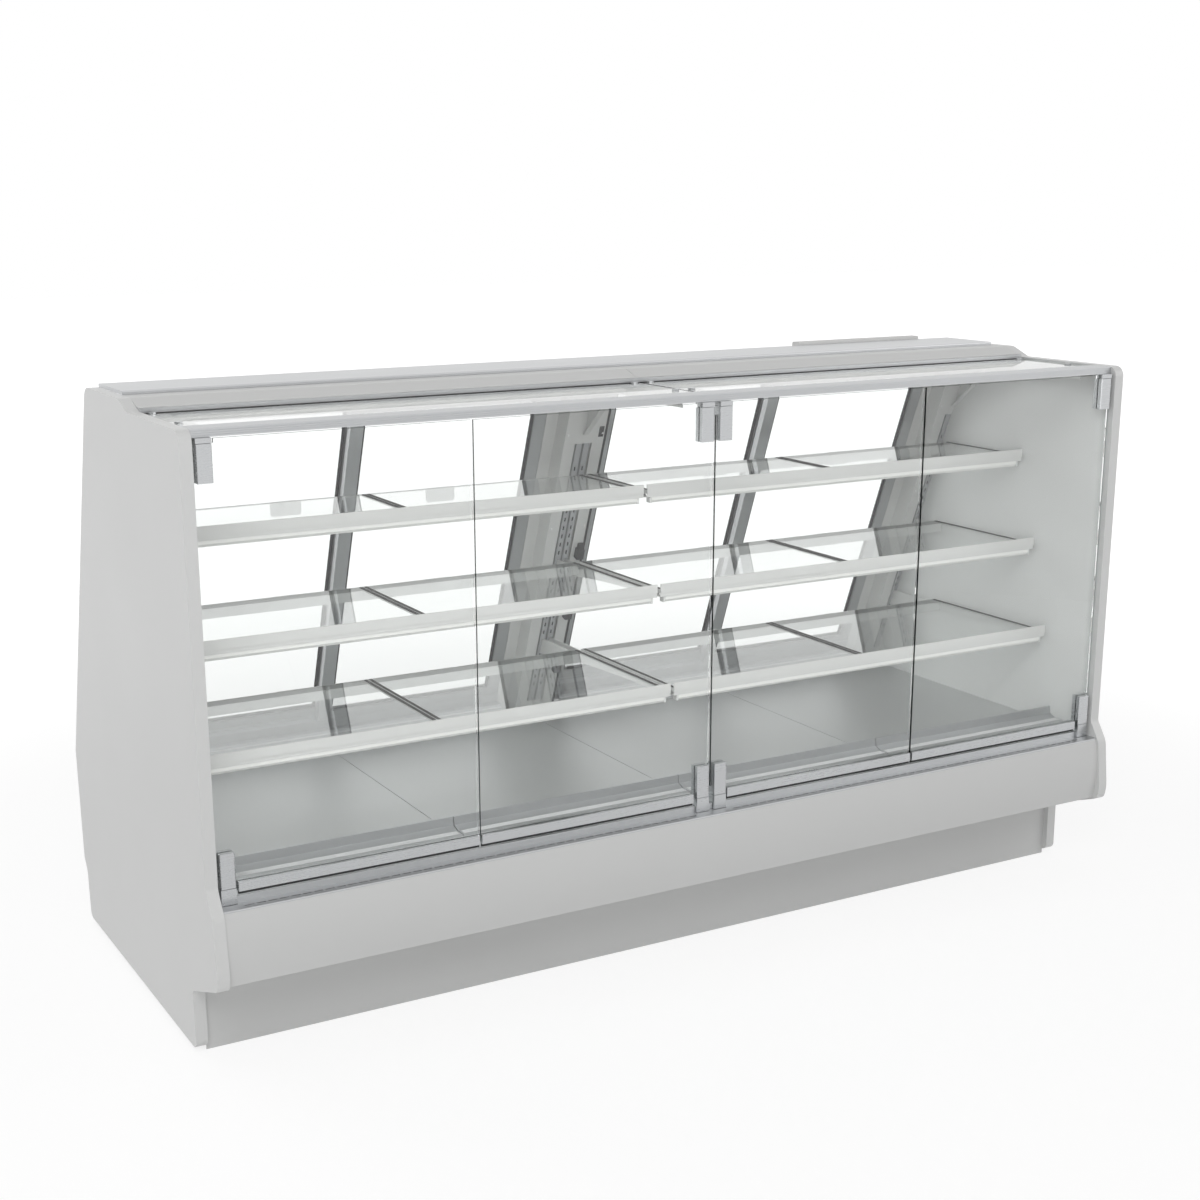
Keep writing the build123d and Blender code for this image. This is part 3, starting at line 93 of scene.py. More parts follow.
class CaseSizes(bpy.types.PropertyGroup):
    """Sizes of the small fittings"""

    screw_radius: FloatProperty(
        name="Screw head radius", description="Radius of the pan-head screws", unit="LENGTH",
        default=0.0036, min=0.001, max=0.01)
    screw_rise: FloatProperty(
        name="Screw head height", description="How far a screw head stands proud", unit="LENGTH",
        default=0.0018, min=0.0005, max=0.005)
    post_screws: IntProperty(
        name="Screws per post line", description="Screws in each line along a rear post",
        default=4, min=2, max=30)
    gasket_width: FloatProperty(
        name="Gasket width", description="Width of the door gaskets", unit="LENGTH",
        default=0.006, min=0.002, max=0.02)
    gasket_rise: FloatProperty(
        name="Gasket height", description="How far a gasket stands proud", unit="LENGTH",
        default=0.0012, min=0.0004, max=0.004)
    fin_pitch: FloatProperty(
        name="Fin pitch", description="Distance between the fins of a cooling coil", unit="LENGTH",
        default=0.008, min=0.002, max=0.03)
    guard_rings: IntProperty(
        name="Guard rings", description="Wire rings of a fan guard", default=5, min=2, max=12)
    wire_radius: FloatProperty(
        name="Guard wire radius", description="Radius of the fan guard wires", unit="LENGTH",
        default=0.0012, min=0.0005, max=0.003)
    seal_width: FloatProperty(
        name="Seal width", description="Width of the black seals along the shelf glass", unit="LENGTH",
        default=0.008, min=0.002, max=0.012)
    seal_rise: FloatProperty(
        name="Seal height", description="How far a seal stands above the glass", unit="LENGTH",
        default=0.0012, min=0.0004, max=0.004)
    rib_pitch: FloatProperty(
        name="Rib pitch", description="Distance between the ribs of the front air rails", unit="LENGTH",
        default=0.007, min=0.003, max=0.012)
    hood_depth: FloatProperty(
        name="Louvre hood depth", description="How far a louvre hood stands out", unit="LENGTH",
        default=0.004, min=0.001, max=0.01)


def colours():
    return bpy.context.scene.case_colours


def sizes():
    return bpy.context.scene.case_sizes


# Shader groups used by more than one finish, and the helpers that build node trees


def new_group(name, inputs, outputs):
    """An empty shader group with named float, colour or vector sockets."""
    group = bpy.data.node_groups.new(name, "ShaderNodeTree")
    kinds = {"float": "NodeSocketFloat", "colour": "NodeSocketColor", "vector": "NodeSocketVector"}
    for label, kind, value in inputs:
        socket = group.interface.new_socket(label, in_out="INPUT", socket_type=kinds[kind])
        socket.default_value = value
    for label, kind in outputs:
        group.interface.new_socket(label, in_out="OUTPUT", socket_type=kinds[kind])
    return group, group.nodes.new("NodeGroupInput"), group.nodes.new("NodeGroupOutput")


def math_node(tree, operation, first, second=None, third=None):
    """A Math node; each value is a number or a socket."""
    node = tree.nodes.new("ShaderNodeMath")
    node.operation = operation
    for index, value in enumerate((first, second, third)):
        if value is None:
            continue
        if isinstance(value, (int, float)):
            node.inputs[index].default_value = value
        else:
            tree.links.new(value, node.inputs[index])
    return node.outputs[0]


def noise(tree, scale, detail=3.0, stretch=None):
    """Noise over Object coordinates, stretched along an axis where asked."""
    place = tree.nodes.new("ShaderNodeTexCoord")
    texture = tree.nodes.new("ShaderNodeTexNoise")
    texture.inputs["Detail"].default_value = detail
    if isinstance(scale, (int, float)):
        texture.inputs["Scale"].default_value = scale
    else:
        tree.links.new(scale, texture.inputs["Scale"])
    if stretch is None:
        tree.links.new(place.outputs["Object"], texture.inputs["Vector"])
    else:
        mapping = tree.nodes.new("ShaderNodeMapping")
        mapping.inputs["Scale"].default_value = stretch
        tree.links.new(place.outputs["Object"], mapping.inputs["Vector"])
        tree.links.new(mapping.outputs["Vector"], texture.inputs["Vector"])
    return texture.outputs["Fac"]


def dust_group():
    """Fine dust that settles on faces that look up, and slight uneven handling marks."""
    tree, given, out = new_group(
        "settled_dust",
        [("Colour", "colour", (0.8, 0.8, 0.8, 1)), ("Amount", "float", 0.1), ("Roughness", "float", 0.4)],
        [("Colour", "colour"), ("Roughness", "float")])
    normal = tree.nodes.new("ShaderNodeNewGeometry")
    split = tree.nodes.new("ShaderNodeSeparateXYZ")
    tree.links.new(normal.outputs["Normal"], split.inputs[0])
    upward = math_node(tree, "MAXIMUM", split.outputs["Z"], 0.0)
    patches = noise(tree, scale=9.0, detail=6.0)
    lifted = math_node(tree, "MULTIPLY_ADD", upward, 0.7, 0.3)
    spread = math_node(tree, "MULTIPLY", patches, lifted)
    mask = math_node(tree, "MULTIPLY", spread, given.outputs["Amount"])
    mix = tree.nodes.new("ShaderNodeMix")
    mix.data_type = "RGBA"
    tree.links.new(mask, mix.inputs["Factor"])
    tree.links.new(given.outputs["Colour"], mix.inputs["A"])
    mix.inputs["B"].default_value = (0.52, 0.50, 0.47, 1)
    tree.links.new(mix.outputs["Result"], out.inputs["Colour"])
    rougher = math_node(tree, "MULTIPLY_ADD", mask, 0.6, given.outputs["Roughness"])
    smears = noise(tree, scale=3.5, detail=4.0)
    middle = math_node(tree, "SUBTRACT", rougher, 0.04)
    uneven = math_node(tree, "MULTIPLY_ADD", smears, 0.08, middle)
    tree.links.new(uneven, out.inputs["Roughness"])
    return tree


def brush_group():
    """Fine parallel grain of brushed or drawn metal, along X."""
    tree, given, out = new_group(
        "drawn_grain",
        [("Colour", "colour", (0.7, 0.7, 0.7, 1)), ("Roughness", "float", 0.3), ("Depth", "float", 1.0)],
        [("Colour", "colour"), ("Roughness", "float"), ("Height", "float")])
    streaks = noise(tree, scale=60.0, detail=8.0, stretch=(0.35, 9.0, 9.0))
    broad = noise(tree, scale=4.0, detail=3.0, stretch=(0.3, 1.0, 1.0))
    height = math_node(tree, "MULTIPLY", streaks, given.outputs["Depth"])
    smooth = math_node(tree, "SUBTRACT", given.outputs["Roughness"], 0.08)
    rough = math_node(tree, "MULTIPLY_ADD", streaks, 0.16, smooth)
    shade = math_node(tree, "MULTIPLY_ADD", broad, 0.10, 0.95)
    fine = math_node(tree, "MULTIPLY_ADD", streaks, 0.08, 0.96)
    scale = tree.nodes.new("ShaderNodeVectorMath")
    scale.operation = "SCALE"
    tree.links.new(given.outputs["Colour"], scale.inputs[0])
    tree.links.new(math_node(tree, "MULTIPLY", shade, fine), scale.inputs["Scale"])
    tree.links.new(scale.outputs[0], out.inputs["Colour"])
    tree.links.new(rough, out.inputs["Roughness"])
    tree.links.new(height, out.inputs["Height"])
    return tree


def peel_group():
    """Orange peel of sprayed paint and the fine texture of moulded plastic."""
    tree, given, out = new_group(
        "spray_peel", [("Scale", "float", 400.0), ("Depth", "float", 1.0)], [("Height", "float")])
    fine = noise(tree, given.outputs["Scale"], detail=2.0)
    tree.links.new(math_node(tree, "MULTIPLY", fine, given.outputs["Depth"]), out.inputs["Height"])
    return tree


def glass_edge_group():
    """1 on the narrow edges of a pane, 0 on the faces that look along Axis."""
    tree, given, out = new_group(
        "pane_edge", [("Axis", "vector", (0, 1, 0))], [("Mask", "float")])
    place = tree.nodes.new("ShaderNodeTexCoord")
    dot = tree.nodes.new("ShaderNodeVectorMath")
    dot.operation = "DOT_PRODUCT"
    tree.links.new(place.outputs["Normal"], dot.inputs[0])
    tree.links.new(given.outputs["Axis"], dot.inputs[1])
    facing = math_node(tree, "ABSOLUTE", dot.outputs["Value"])
    tree.links.new(math_node(tree, "LESS_THAN", facing, 0.6), out.inputs["Mask"])
    return tree


GROUPS = {}


def shared(name):
    """A shader group by name, made when first asked for."""
    makers = {"dust": dust_group, "brush": brush_group, "peel": peel_group, "edge": glass_edge_group}
    if name not in GROUPS:
        GROUPS[name] = makers[name]()
    return GROUPS[name]


def place_group(tree, name, **values):
    """Places a shader group in a material; each value is a number, a colour or a socket."""
    node = tree.nodes.new("ShaderNodeGroup")
    node.node_tree = shared(name)
    for label, value in values.items():
        socket = node.inputs[label]
        if isinstance(value, bpy.types.NodeSocket):
            tree.links.new(value, socket)
        else:
            socket.default_value = value
    return node


def start_material(name):
    """A new material, its tree and its Principled BSDF."""
    material = bpy.data.materials.new(name)
    material.use_nodes = True
    tree = material.node_tree
    surface = tree.nodes["Principled BSDF"]
    return material, tree, surface


def add_bump(tree, surface, height, distance):
    """Feeds a height to the surface's normal."""
    bump = tree.nodes.new("ShaderNodeBump")
    bump.inputs["Strength"].default_value = 0.35
    bump.inputs["Distance"].default_value = distance
    tree.links.new(height, bump.inputs["Height"])
    tree.links.new(bump.outputs["Normal"], surface.inputs["Normal"])


def painted(name, colour, roughness, dust=0.12, coat=0.15, peel=420.0):
    """Sprayed paint, rubber or moulded plastic, with dust and a fine texture."""
    material, tree, surface = start_material(name)
    film = place_group(tree, "dust", Colour=(*colour, 1), Amount=dust, Roughness=roughness)
    tree.links.new(film.outputs["Colour"], surface.inputs["Base Color"])
    tree.links.new(film.outputs["Roughness"], surface.inputs["Roughness"])
    surface.inputs["Metallic"].default_value = 0.0
    surface.inputs["Coat Weight"].default_value = coat
    surface.inputs["Coat Roughness"].default_value = 0.25
    texture = place_group(tree, "peel", Scale=peel, Depth=1.0)
    add_bump(tree, surface, texture.outputs["Height"], 0.0003)
    return material


def brushed(name, colour, roughness, metallic=0.85, dust=0.08):
    """Metal with a fine drawn grain along X."""
    material, tree, surface = start_material(name)
    grain = place_group(tree, "brush", Colour=(*colour, 1), Roughness=roughness, Depth=1.0)
    film = place_group(tree, "dust", Colour=grain.outputs["Colour"], Amount=dust,
                       Roughness=grain.outputs["Roughness"])
    tree.links.new(film.outputs["Colour"], surface.inputs["Base Color"])
    tree.links.new(film.outputs["Roughness"], surface.inputs["Roughness"])
    surface.inputs["Metallic"].default_value = metallic
    add_bump(tree, surface, grain.outputs["Height"], 0.0002)
    return material


def glass(name, axis):
    """Clear glass with dark polished edges; light passes through it to what it covers."""
    material, tree, surface = start_material(name)
    edge = place_group(tree, "edge", Axis=axis)
    mix = tree.nodes.new("ShaderNodeMix")
    mix.data_type = "RGBA"
    tree.links.new(edge.outputs["Mask"], mix.inputs["Factor"])
    mix.inputs["A"].default_value = (0.985, 0.995, 0.99, 1)
    mix.inputs["B"].default_value = (*colours().glass_edge, 1)
    tree.links.new(mix.outputs["Result"], surface.inputs["Base Color"])
    smears = noise(tree, scale=2.2, detail=5.0)
    tree.links.new(math_node(tree, "MULTIPLY", smears, 0.03), surface.inputs["Roughness"])
    surface.inputs["IOR"].default_value = 1.45
    surface.inputs["Metallic"].default_value = 0.0
    surface.inputs["Transmission Weight"].default_value = 1.0
    clear = tree.nodes.new("ShaderNodeBsdfTransparent")
    clear.inputs["Color"].default_value = (0.97, 0.985, 0.98, 1)
    path = tree.nodes.new("ShaderNodeLightPath")
    blend = tree.nodes.new("ShaderNodeMixShader")
    tree.links.new(path.outputs["Is Shadow Ray"], blend.inputs[0])
    tree.links.new(surface.outputs[0], blend.inputs[1])
    tree.links.new(clear.outputs[0], blend.inputs[2])
    tree.links.new(blend.outputs[0], tree.nodes["Material Output"].inputs["Surface"])
    return material


def lamp_cover(name):
    """The opal cover of a lamp, with a faint glow."""
    material, tree, surface = start_material(name)
    film = place_group(tree, "dust", Colour=(*colours().diffuser, 1), Amount=0.05, Roughness=0.45)
    tree.links.new(film.outputs["Colour"], surface.inputs["Base Color"])
    tree.links.new(film.outputs["Roughness"], surface.inputs["Roughness"])
    tree.links.new(film.outputs["Colour"], surface.inputs["Emission Color"])
    surface.inputs["Emission Strength"].default_value = 0.08
    return material


FINISHES = {}


def finish(name):
    """A finish by name, made when first asked for."""
    if name not in FINISHES:
        FINISHES[name] = FINISH_MAKERS[name]()
    return FINISHES[name]


FINISH_MAKERS = {
    "satin_paint": lambda: painted("satin_paint", colours().paint, 0.38),
    "end_skin": lambda: painted("end_skin", colours().end_skin, 0.34, coat=0.25, peel=300.0),
    "frame_paint": lambda: painted("frame_paint", (0.16, 0.17, 0.18), 0.55, dust=0.35),
    "liner": lambda: painted("liner", (0.62, 0.62, 0.61), 0.5),
    "shelf_paint": lambda: painted("shelf_paint", (0.66, 0.66, 0.65), 0.38, dust=0.06),
    "standard_paint": lambda: painted("standard_paint", (0.42, 0.43, 0.44), 0.4, dust=0.1),
    "post_paint": lambda: painted("post_paint", (0.66, 0.66, 0.65), 0.42, dust=0.06),
    "deck_steel": lambda: brushed("deck_steel", (0.62, 0.63, 0.63), 0.46, metallic=0.7, dust=0.05),
    "brushed_steel": lambda: brushed("brushed_steel", colours().steel, 0.34),
    "clamp_steel": lambda: brushed("clamp_steel", (0.50, 0.51, 0.52), 0.28, metallic=0.95, dust=0.04),
    "anodised": lambda: brushed("anodised", colours().aluminium, 0.38, metallic=0.8, dust=0.06),
    "coil_metal": lambda: brushed("coil_metal", (0.55, 0.56, 0.57), 0.45, metallic=0.8, dust=0.3),
    "copper": lambda: brushed("copper", colours().copper, 0.32, metallic=1.0, dust=0.15),
    "rubber": lambda: painted("rubber", colours().gasket, 0.7, dust=0.2, coat=0.0, peel=700.0),
    "dark_plastic": lambda: painted(
        "dark_plastic", colours().plastic, 0.5, dust=0.15, coat=0.05, peel=900.0),
    "pale_plastic": lambda: painted(
        "pale_plastic", (0.70, 0.70, 0.69), 0.45, dust=0.05, coat=0.05, peel=900.0),
    "black_paint": lambda: painted("black_paint", (0.02, 0.02, 0.022), 0.3, dust=0.3, coat=0.4),
    "pane_glass": lambda: glass("pane_glass", (0, 1, 0)),
    "flat_glass": lambda: glass("flat_glass", (0, 0, 1)),
    "rear_glass": lambda: glass("rear_glass", (0, -0.932, -0.363)),
    "lamp_cover": lambda: lamp_cover("lamp_cover"),
}

NODE_FINISHES = {
    "end_panel": "end_skin",
    "base_frame": "frame_paint",
    "levelling_feet": "rubber",
    "insulated_tub": "liner",
    "kick_panel": "satin_paint",
    "lower_front_panel": "satin_paint",
    "slotted_front_sill": "brushed_steel",
    "front_air_rails": "brushed_steel",
    "deck_pans": "deck_steel",
    "pivot_blocks": "clamp_steel",
    "shelf_frame": "shelf_paint",
    "shelf_glass": "flat_glass",
    "shelf_light_bars": "lamp_cover",
    "rear_tag_plates": "pale_plastic",
    "shelf_standards": "standard_paint",
    "rear_posts": "post_paint",
    "lamp_sockets": "dark_plastic",
    "canopy_frame": "post_paint",
    "canopy_header": "anodised",
    "canopy_rear_rail": "anodised",
    "canopy_glass": "flat_glass",
    "canopy_bolts": "clamp_steel",
    "canopy_fascia": "satin_paint",
    "canopy_lamps": "lamp_cover",
    "worktop": "brushed_steel",
    "rear_raceway": "pale_plastic",
    "rear_door_tracks": "anodised",
    "rear_service_panel": "satin_paint",
    "evaporator_coil": "coil_metal",
    "evaporator_fan_plate": "brushed_steel",
    "evaporator_fan_1": "dark_plastic",
    "evaporator_fan_2": "dark_plastic",
    "compressor": "black_paint",
    "condenser_coil": "coil_metal",
    "condenser_fan": "dark_plastic",
    "condensate_pan": "brushed_steel",
    "electrical_box": "dark_plastic",
    "refrigerant_pipes": "copper",
}


def finish_of(node):
    """The name of a CAD node's finish."""
    if node.startswith("glass_door"):
        return "pane_glass" if node.endswith("pane") else "clamp_steel"
    if node.startswith("rear_door_") and node != "rear_door_tracks":
        return "rear_glass" if node.endswith("glass") else "anodised"
    for start, name in NODE_FINISHES.items():
        if node.startswith(start):
            return name
    raise RuntimeError("no finish for " + node)


# Mesh helpers


def new_piece(name, mesh_data, material, body):
    """Links a finished mesh as a piece that rides on a body."""
    piece = bpy.data.objects.new(name, mesh_data)
    bpy.context.scene.collection.objects.link(piece)
    if material is not None:
        piece.data.materials.clear()
        piece.data.materials.append(finish(material))
    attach(piece, body)
    return piece


def mesh_from(name, builder):
    """A mesh made by builder(bmesh), with its faces outwards."""
    work = bmesh.new()
    builder(work)
    bmesh.ops.recalc_face_normals(work, faces=work.faces)
    data = bpy.data.meshes.new(name)
    work.to_mesh(data)
    work.free()
    return data


def add_box(work, low, high, turn=None):
    """A box between two corners, turned by a matrix where asked."""
    centre = [(a + b) / 2 for a, b in zip(low, high)]
    spans = [b - a for a, b in zip(low, high)]
    made = bmesh.ops.create_cube(work, size=1.0)
    place = Matrix.Translation(centre) @ Matrix.Diagonal((*spans, 1))
    if turn is not None:
        place = turn @ place
    bmesh.ops.transform(work, matrix=place, verts=made["verts"])


def soften(work, width):
    """Rounds every edge by the same width."""
    bmesh.ops.bevel(work, geom=list(work.edges), offset=width, segments=2, affect="EDGES", profile=0.5)


# Geometry Nodes trees for what repeats


def new_geometry_tree(name, inputs):
    """An empty Geometry Nodes tree with named inputs."""
    tree = bpy.data.node_groups.new(name, "GeometryNodeTree")
    kinds = {"float": "NodeSocketFloat", "int": "NodeSocketInt", "vector": "NodeSocketVector",
             "material": "NodeSocketMaterial"}
    tree.interface.new_socket("Geometry", in_out="OUTPUT", socket_type="NodeSocketGeometry")
    for label, kind, value in inputs:
        socket = tree.interface.new_socket(label, in_out="INPUT", socket_type=kinds[kind])
        if value is not None:
            socket.default_value = value
    return tree, tree.nodes.new("NodeGroupInput"), tree.nodes.new("NodeGroupOutput")


def close_tree(tree, geometry, given, out):
    """Realizes the instances and gives them their material, which ends every tree."""
    realize = tree.nodes.new("GeometryNodeRealizeInstances")
    colour = tree.nodes.new("GeometryNodeSetMaterial")
    tree.links.new(geometry, realize.inputs[0])
    tree.links.new(realize.outputs[0], colour.inputs["Geometry"])
    tree.links.new(given.outputs["Material"], colour.inputs["Material"])
    tree.links.new(colour.outputs[0], out.inputs["Geometry"])


def line_points(tree, given):
    """Points along a line from Start, Count of them, one Step apart."""
    line = tree.nodes.new("GeometryNodeMeshLine")
    line.mode = "OFFSET"
    tree.links.new(given.outputs["Count"], line.inputs["Count"])
    tree.links.new(given.outputs["Start"], line.inputs["Start Location"])
    tree.links.new(given.outputs["Step"], line.inputs["Offset"])
    return line.outputs["Mesh"]


ROW_INPUTS = [("Count", "int", 4), ("Start", "vector", (0, 0, 0)), ("Step", "vector", (0.1, 0, 0)),
              ("Turn", "vector", (0, 0, 0)), ("Material", "material", None)]


def screw_row_tree():
    """Pan-head screws along a line: a tapered head."""
    tree, given, out = new_geometry_tree(
        "screw_row", ROW_INPUTS + [("Radius", "float", 0.004), ("Rise", "float", 0.002)])
    head = tree.nodes.new("GeometryNodeMeshCone")
    head.inputs["Vertices"].default_value = 14
    tree.links.new(given.outputs["Radius"], head.inputs["Radius Bottom"])
    crown = math_node(tree, "MULTIPLY", given.outputs["Radius"], 0.62)
    tree.links.new(crown, head.inputs["Radius Top"])
    tree.links.new(given.outputs["Rise"], head.inputs["Depth"])
    place_row(tree, given, out, head.outputs["Mesh"])
    return tree


def plate_row_tree():
    """Thin plates or bars along a line, such as fins, hoods and ribs."""
    tree, given, out = new_geometry_tree("plate_row", ROW_INPUTS + [("Size", "vector", (0.001, 0.1, 0.1))])
    plate = tree.nodes.new("GeometryNodeMeshCube")
    tree.links.new(given.outputs["Size"], plate.inputs["Size"])
    place_row(tree, given, out, plate.outputs["Mesh"])
    return tree


def place_row(tree, given, out, shape):
    """Puts the turned shape on each point of the row."""
    spread = tree.nodes.new("GeometryNodeInstanceOnPoints")
    turn = tree.nodes.new("FunctionNodeEulerToRotation")
    tree.links.new(given.outputs["Turn"], turn.inputs[0])
    tree.links.new(line_points(tree, given), spread.inputs["Points"])
    tree.links.new(shape, spread.inputs["Instance"])
    tree.links.new(turn.outputs[0], spread.inputs["Rotation"])
    close_tree(tree, spread.outputs[0], given, out)


def ring_row_tree():
    """Wire rings, each larger than the last by Growth, in planes Step apart."""
    tree, given, out = new_geometry_tree(
        "ring_row",
        ROW_INPUTS + [("Radius", "float", 0.02), ("Growth", "float", 0.008), ("Wire", "float", 0.0012)])
    ring = tree.nodes.new("GeometryNodeCurvePrimitiveCircle")
    ring.inputs["Resolution"].default_value = 40
    ring.inputs["Radius"].default_value = 1.0
    spread = tree.nodes.new("GeometryNodeInstanceOnPoints")
    turn = tree.nodes.new("FunctionNodeEulerToRotation")
    index = tree.nodes.new("GeometryNodeInputIndex")
    reach = math_node(
        tree, "MULTIPLY_ADD", index.outputs[0], given.outputs["Growth"], given.outputs["Radius"])
    tree.links.new(given.outputs["Turn"], turn.inputs[0])
    tree.links.new(line_points(tree, given), spread.inputs["Points"])
    tree.links.new(ring.outputs[0], spread.inputs["Instance"])
    tree.links.new(turn.outputs[0], spread.inputs["Rotation"])
    tree.links.new(reach, spread.inputs["Scale"])
    flat = tree.nodes.new("GeometryNodeRealizeInstances")
    tree.links.new(spread.outputs[0], flat.inputs[0])
    wire = tree.nodes.new("GeometryNodeCurveToMesh")
    section = tree.nodes.new("GeometryNodeCurvePrimitiveCircle")
    section.inputs["Resolution"].default_value = 6
    tree.links.new(given.outputs["Wire"], section.inputs["Radius"])
    tree.links.new(flat.outputs[0], wire.inputs["Curve"])
    tree.links.new(section.outputs[0], wire.inputs["Profile Curve"])
    close_tree(tree, wire.outputs[0], given, out)
    return tree


TREES = {}


def tree_named(name):
    """A tree by name, made when first asked for."""
    makers = {"screws": screw_row_tree, "plates": plate_row_tree, "rings": ring_row_tree}
    if name not in TREES:
        TREES[name] = makers[name]()
    return TREES[name]


def run_tree(kind, material, **values):
    """The mesh that a tree makes with these inputs."""
    tree = tree_named(kind)
    holder = bpy.data.objects.new("row_holder", bpy.data.meshes.new("row_holder"))
    bpy.context.scene.collection.objects.link(holder)
    modifier = holder.modifiers.new("row", "NODES")
    modifier.node_group = tree
    values["Material"] = finish(material)
    for item in tree.interface.items_tree:
        if item.in_out == "INPUT" and item.name in values:
            modifier[item.identifier] = values[item.name]
    bpy.context.view_layer.update()
    evaluated = holder.evaluated_get(bpy.context.evaluated_depsgraph_get())
    data = bpy.data.meshes.new_from_object(evaluated)
    bpy.data.objects.remove(holder)
    return data


def screw_row(count, start, step, tilt):
    """The mesh of a row of screws, with their heads tilted about X."""
    size = sizes()
    return run_tree("screws", "clamp_steel", Count=count, Start=start, Step=step, Turn=(tilt, 0, 0),
                    Radius=size.screw_radius, Rise=size.screw_rise)


def plate_row(material, count, start, step, spans, tilt=0.0):
    """The mesh of a row of thin plates or bars, tilted about X."""
    return run_tree("plates", material, Count=count, Start=start, Step=step, Turn=(tilt, 0, 0), Size=spans)


def rows_piece(name, rows):
    """Joins the meshes of several rows into one piece of the fixed case."""
    work = bmesh.new()
    for data in rows:
        work.from_mesh(data)
    joined = bpy.data.meshes.new(name)
    work.to_mesh(joined)
    work.free()
    joined.materials.append(rows[0].materials[0])
    for data in rows:
        bpy.data.meshes.remove(data)
    return new_piece(name, joined, None, "case")


def boxes_piece(name, boxes, material, edge, turn=None):
    """A piece of the fixed case made of boxes with softened edges."""

    def build(work):
        for low, high in boxes:
            add_box(work, low, high, turn)
        soften(work, edge)

    return new_piece(name, mesh_from(name, build), material, "case")


def separate_boxes(node):
    """The box of each separate solid in a node."""
    work = bmesh.new()
    work.from_mesh(NODES[node].data)
    bmesh.ops.remove_doubles(work, verts=work.verts, dist=1e-5)
    seen, boxes = set(), []
    for start in work.verts:
        if start in seen:
            continue
        seen.add(start)
        stack, island = [start], []
        while stack:
            vert = stack.pop()
            island.append(vert.co.copy())
            for edge in vert.link_edges:
                other = edge.other_vert(vert)
                if other not in seen:
                    seen.add(other)
                    stack.append(other)
        boxes.append((tuple(min(p[i] for p in island) for i in range(3)),
                      tuple(max(p[i] for p in island) for i in range(3))))
    work.free()
    return boxes


# The rear slope, which the posts, screws and doors share


# The lean of the posts, and how far the middle post's face and its door jambs reach to each side
REAR_ANGLE = math.radians(21.3)
REAR_TAN = math.tan(REAR_ANGLE)
POST_HALF = 0.057
JAMB_REACH = 0.091


def low_front_depth():
    """Depth of the posts' front face at the posts' foot."""
    low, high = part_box("rear_posts")
    return low[1] + REAR_TAN * (high[2] - low[2])


def slope_point(proud, height):
    """Depth, at a height, of a plane that stands proud of the rear posts' front face."""
    run = REAR_TAN * (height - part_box("rear_posts")[0][2])
    return low_front_depth() - run - proud / math.cos(REAR_ANGLE)


def slope_place():
    """Places a shape whose Z runs up the rear slope and whose -Y stands out from the posts' face."""
    foot = Vector((0, low_front_depth(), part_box("rear_posts")[0][2]))
    return Matrix.Translation(foot) @ Matrix.Rotation(REAR_ANGLE, 4, "X")


# The stage's shaders, which aren't part of the case


def seen_rays(tree):
    """1 for camera, glossy and transmission rays, 0 for the rest."""
    path = tree.nodes.new("ShaderNodeLightPath")
    seen = math_node(tree, "MAXIMUM", path.outputs["Is Camera Ray"], path.outputs["Is Glossy Ray"])
    return math_node(tree, "MAXIMUM", seen, path.outputs["Is Transmission Ray"])


# One operator for each group of pieces


class CASE_OT_finishes(bpy.types.Operator):
    """Give every node of the case its finish"""

    bl_idname = "case.finishes"
    bl_label = "Finishes"

    def execute(self, context):
        for node, piece in NODES.items():
            piece.data.materials.clear()
            piece.data.materials.append(finish(finish_of(node)))
        return {"FINISHED"}


class CASE_OT_post_screws(bpy.types.Operator):
    """Screws along both edges of the middle post and the inner edge of each end post"""

    bl_idname = "case.post_screws"
    bl_label = "Post screws"

    def execute(self, context):
        size = sizes()
        foot_margin, top_height, inset = 0.06, 1.22, 0.05
        low_z = DECK_TOP + foot_margin
        rise = (top_height - low_z) / (size.post_screws - 1)
        step = (0, -REAR_TAN * rise, rise)
        depth = slope_point(size.screw_rise / 2, low_z)
        rows = [
            screw_row(size.post_screws, (x, depth, low_z), step, math.pi / 2 + REAR_ANGLE)
            for x in (-inset, inset, -WALL_X + inset, WALL_X - inset)]
        rows_piece("post_screws", rows)
        return {"FINISHED"}


class CASE_OT_panel_screws(bpy.types.Operator):
    """Screws that hold the rear service panel and the kick panel"""

    bl_idname = "case.panel_screws"
    bl_label = "Panel screws"

    def execute(self, context):
        end_margin, edge_margin, low_row = 0.03, 0.02, 0.19
        proud = sizes().screw_rise / 2
        reach = WALL_X - end_margin
        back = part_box("rear_service_panel")[1]
        kick_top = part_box("kick_panel")[1][2]
        rows = [
            screw_row(9, (-reach, back[1] + proud, z), (reach / 4, 0, 0), -math.pi / 2)
            for z in (back[2] - edge_margin, low_row)]
        rows.append(
            screw_row(5, (-reach, KICK_FACE - proud, kick_top - edge_margin), (reach / 2, 0, 0), math.pi / 2))
        rows_piece("panel_screws", rows)
        return {"FINISHED"}


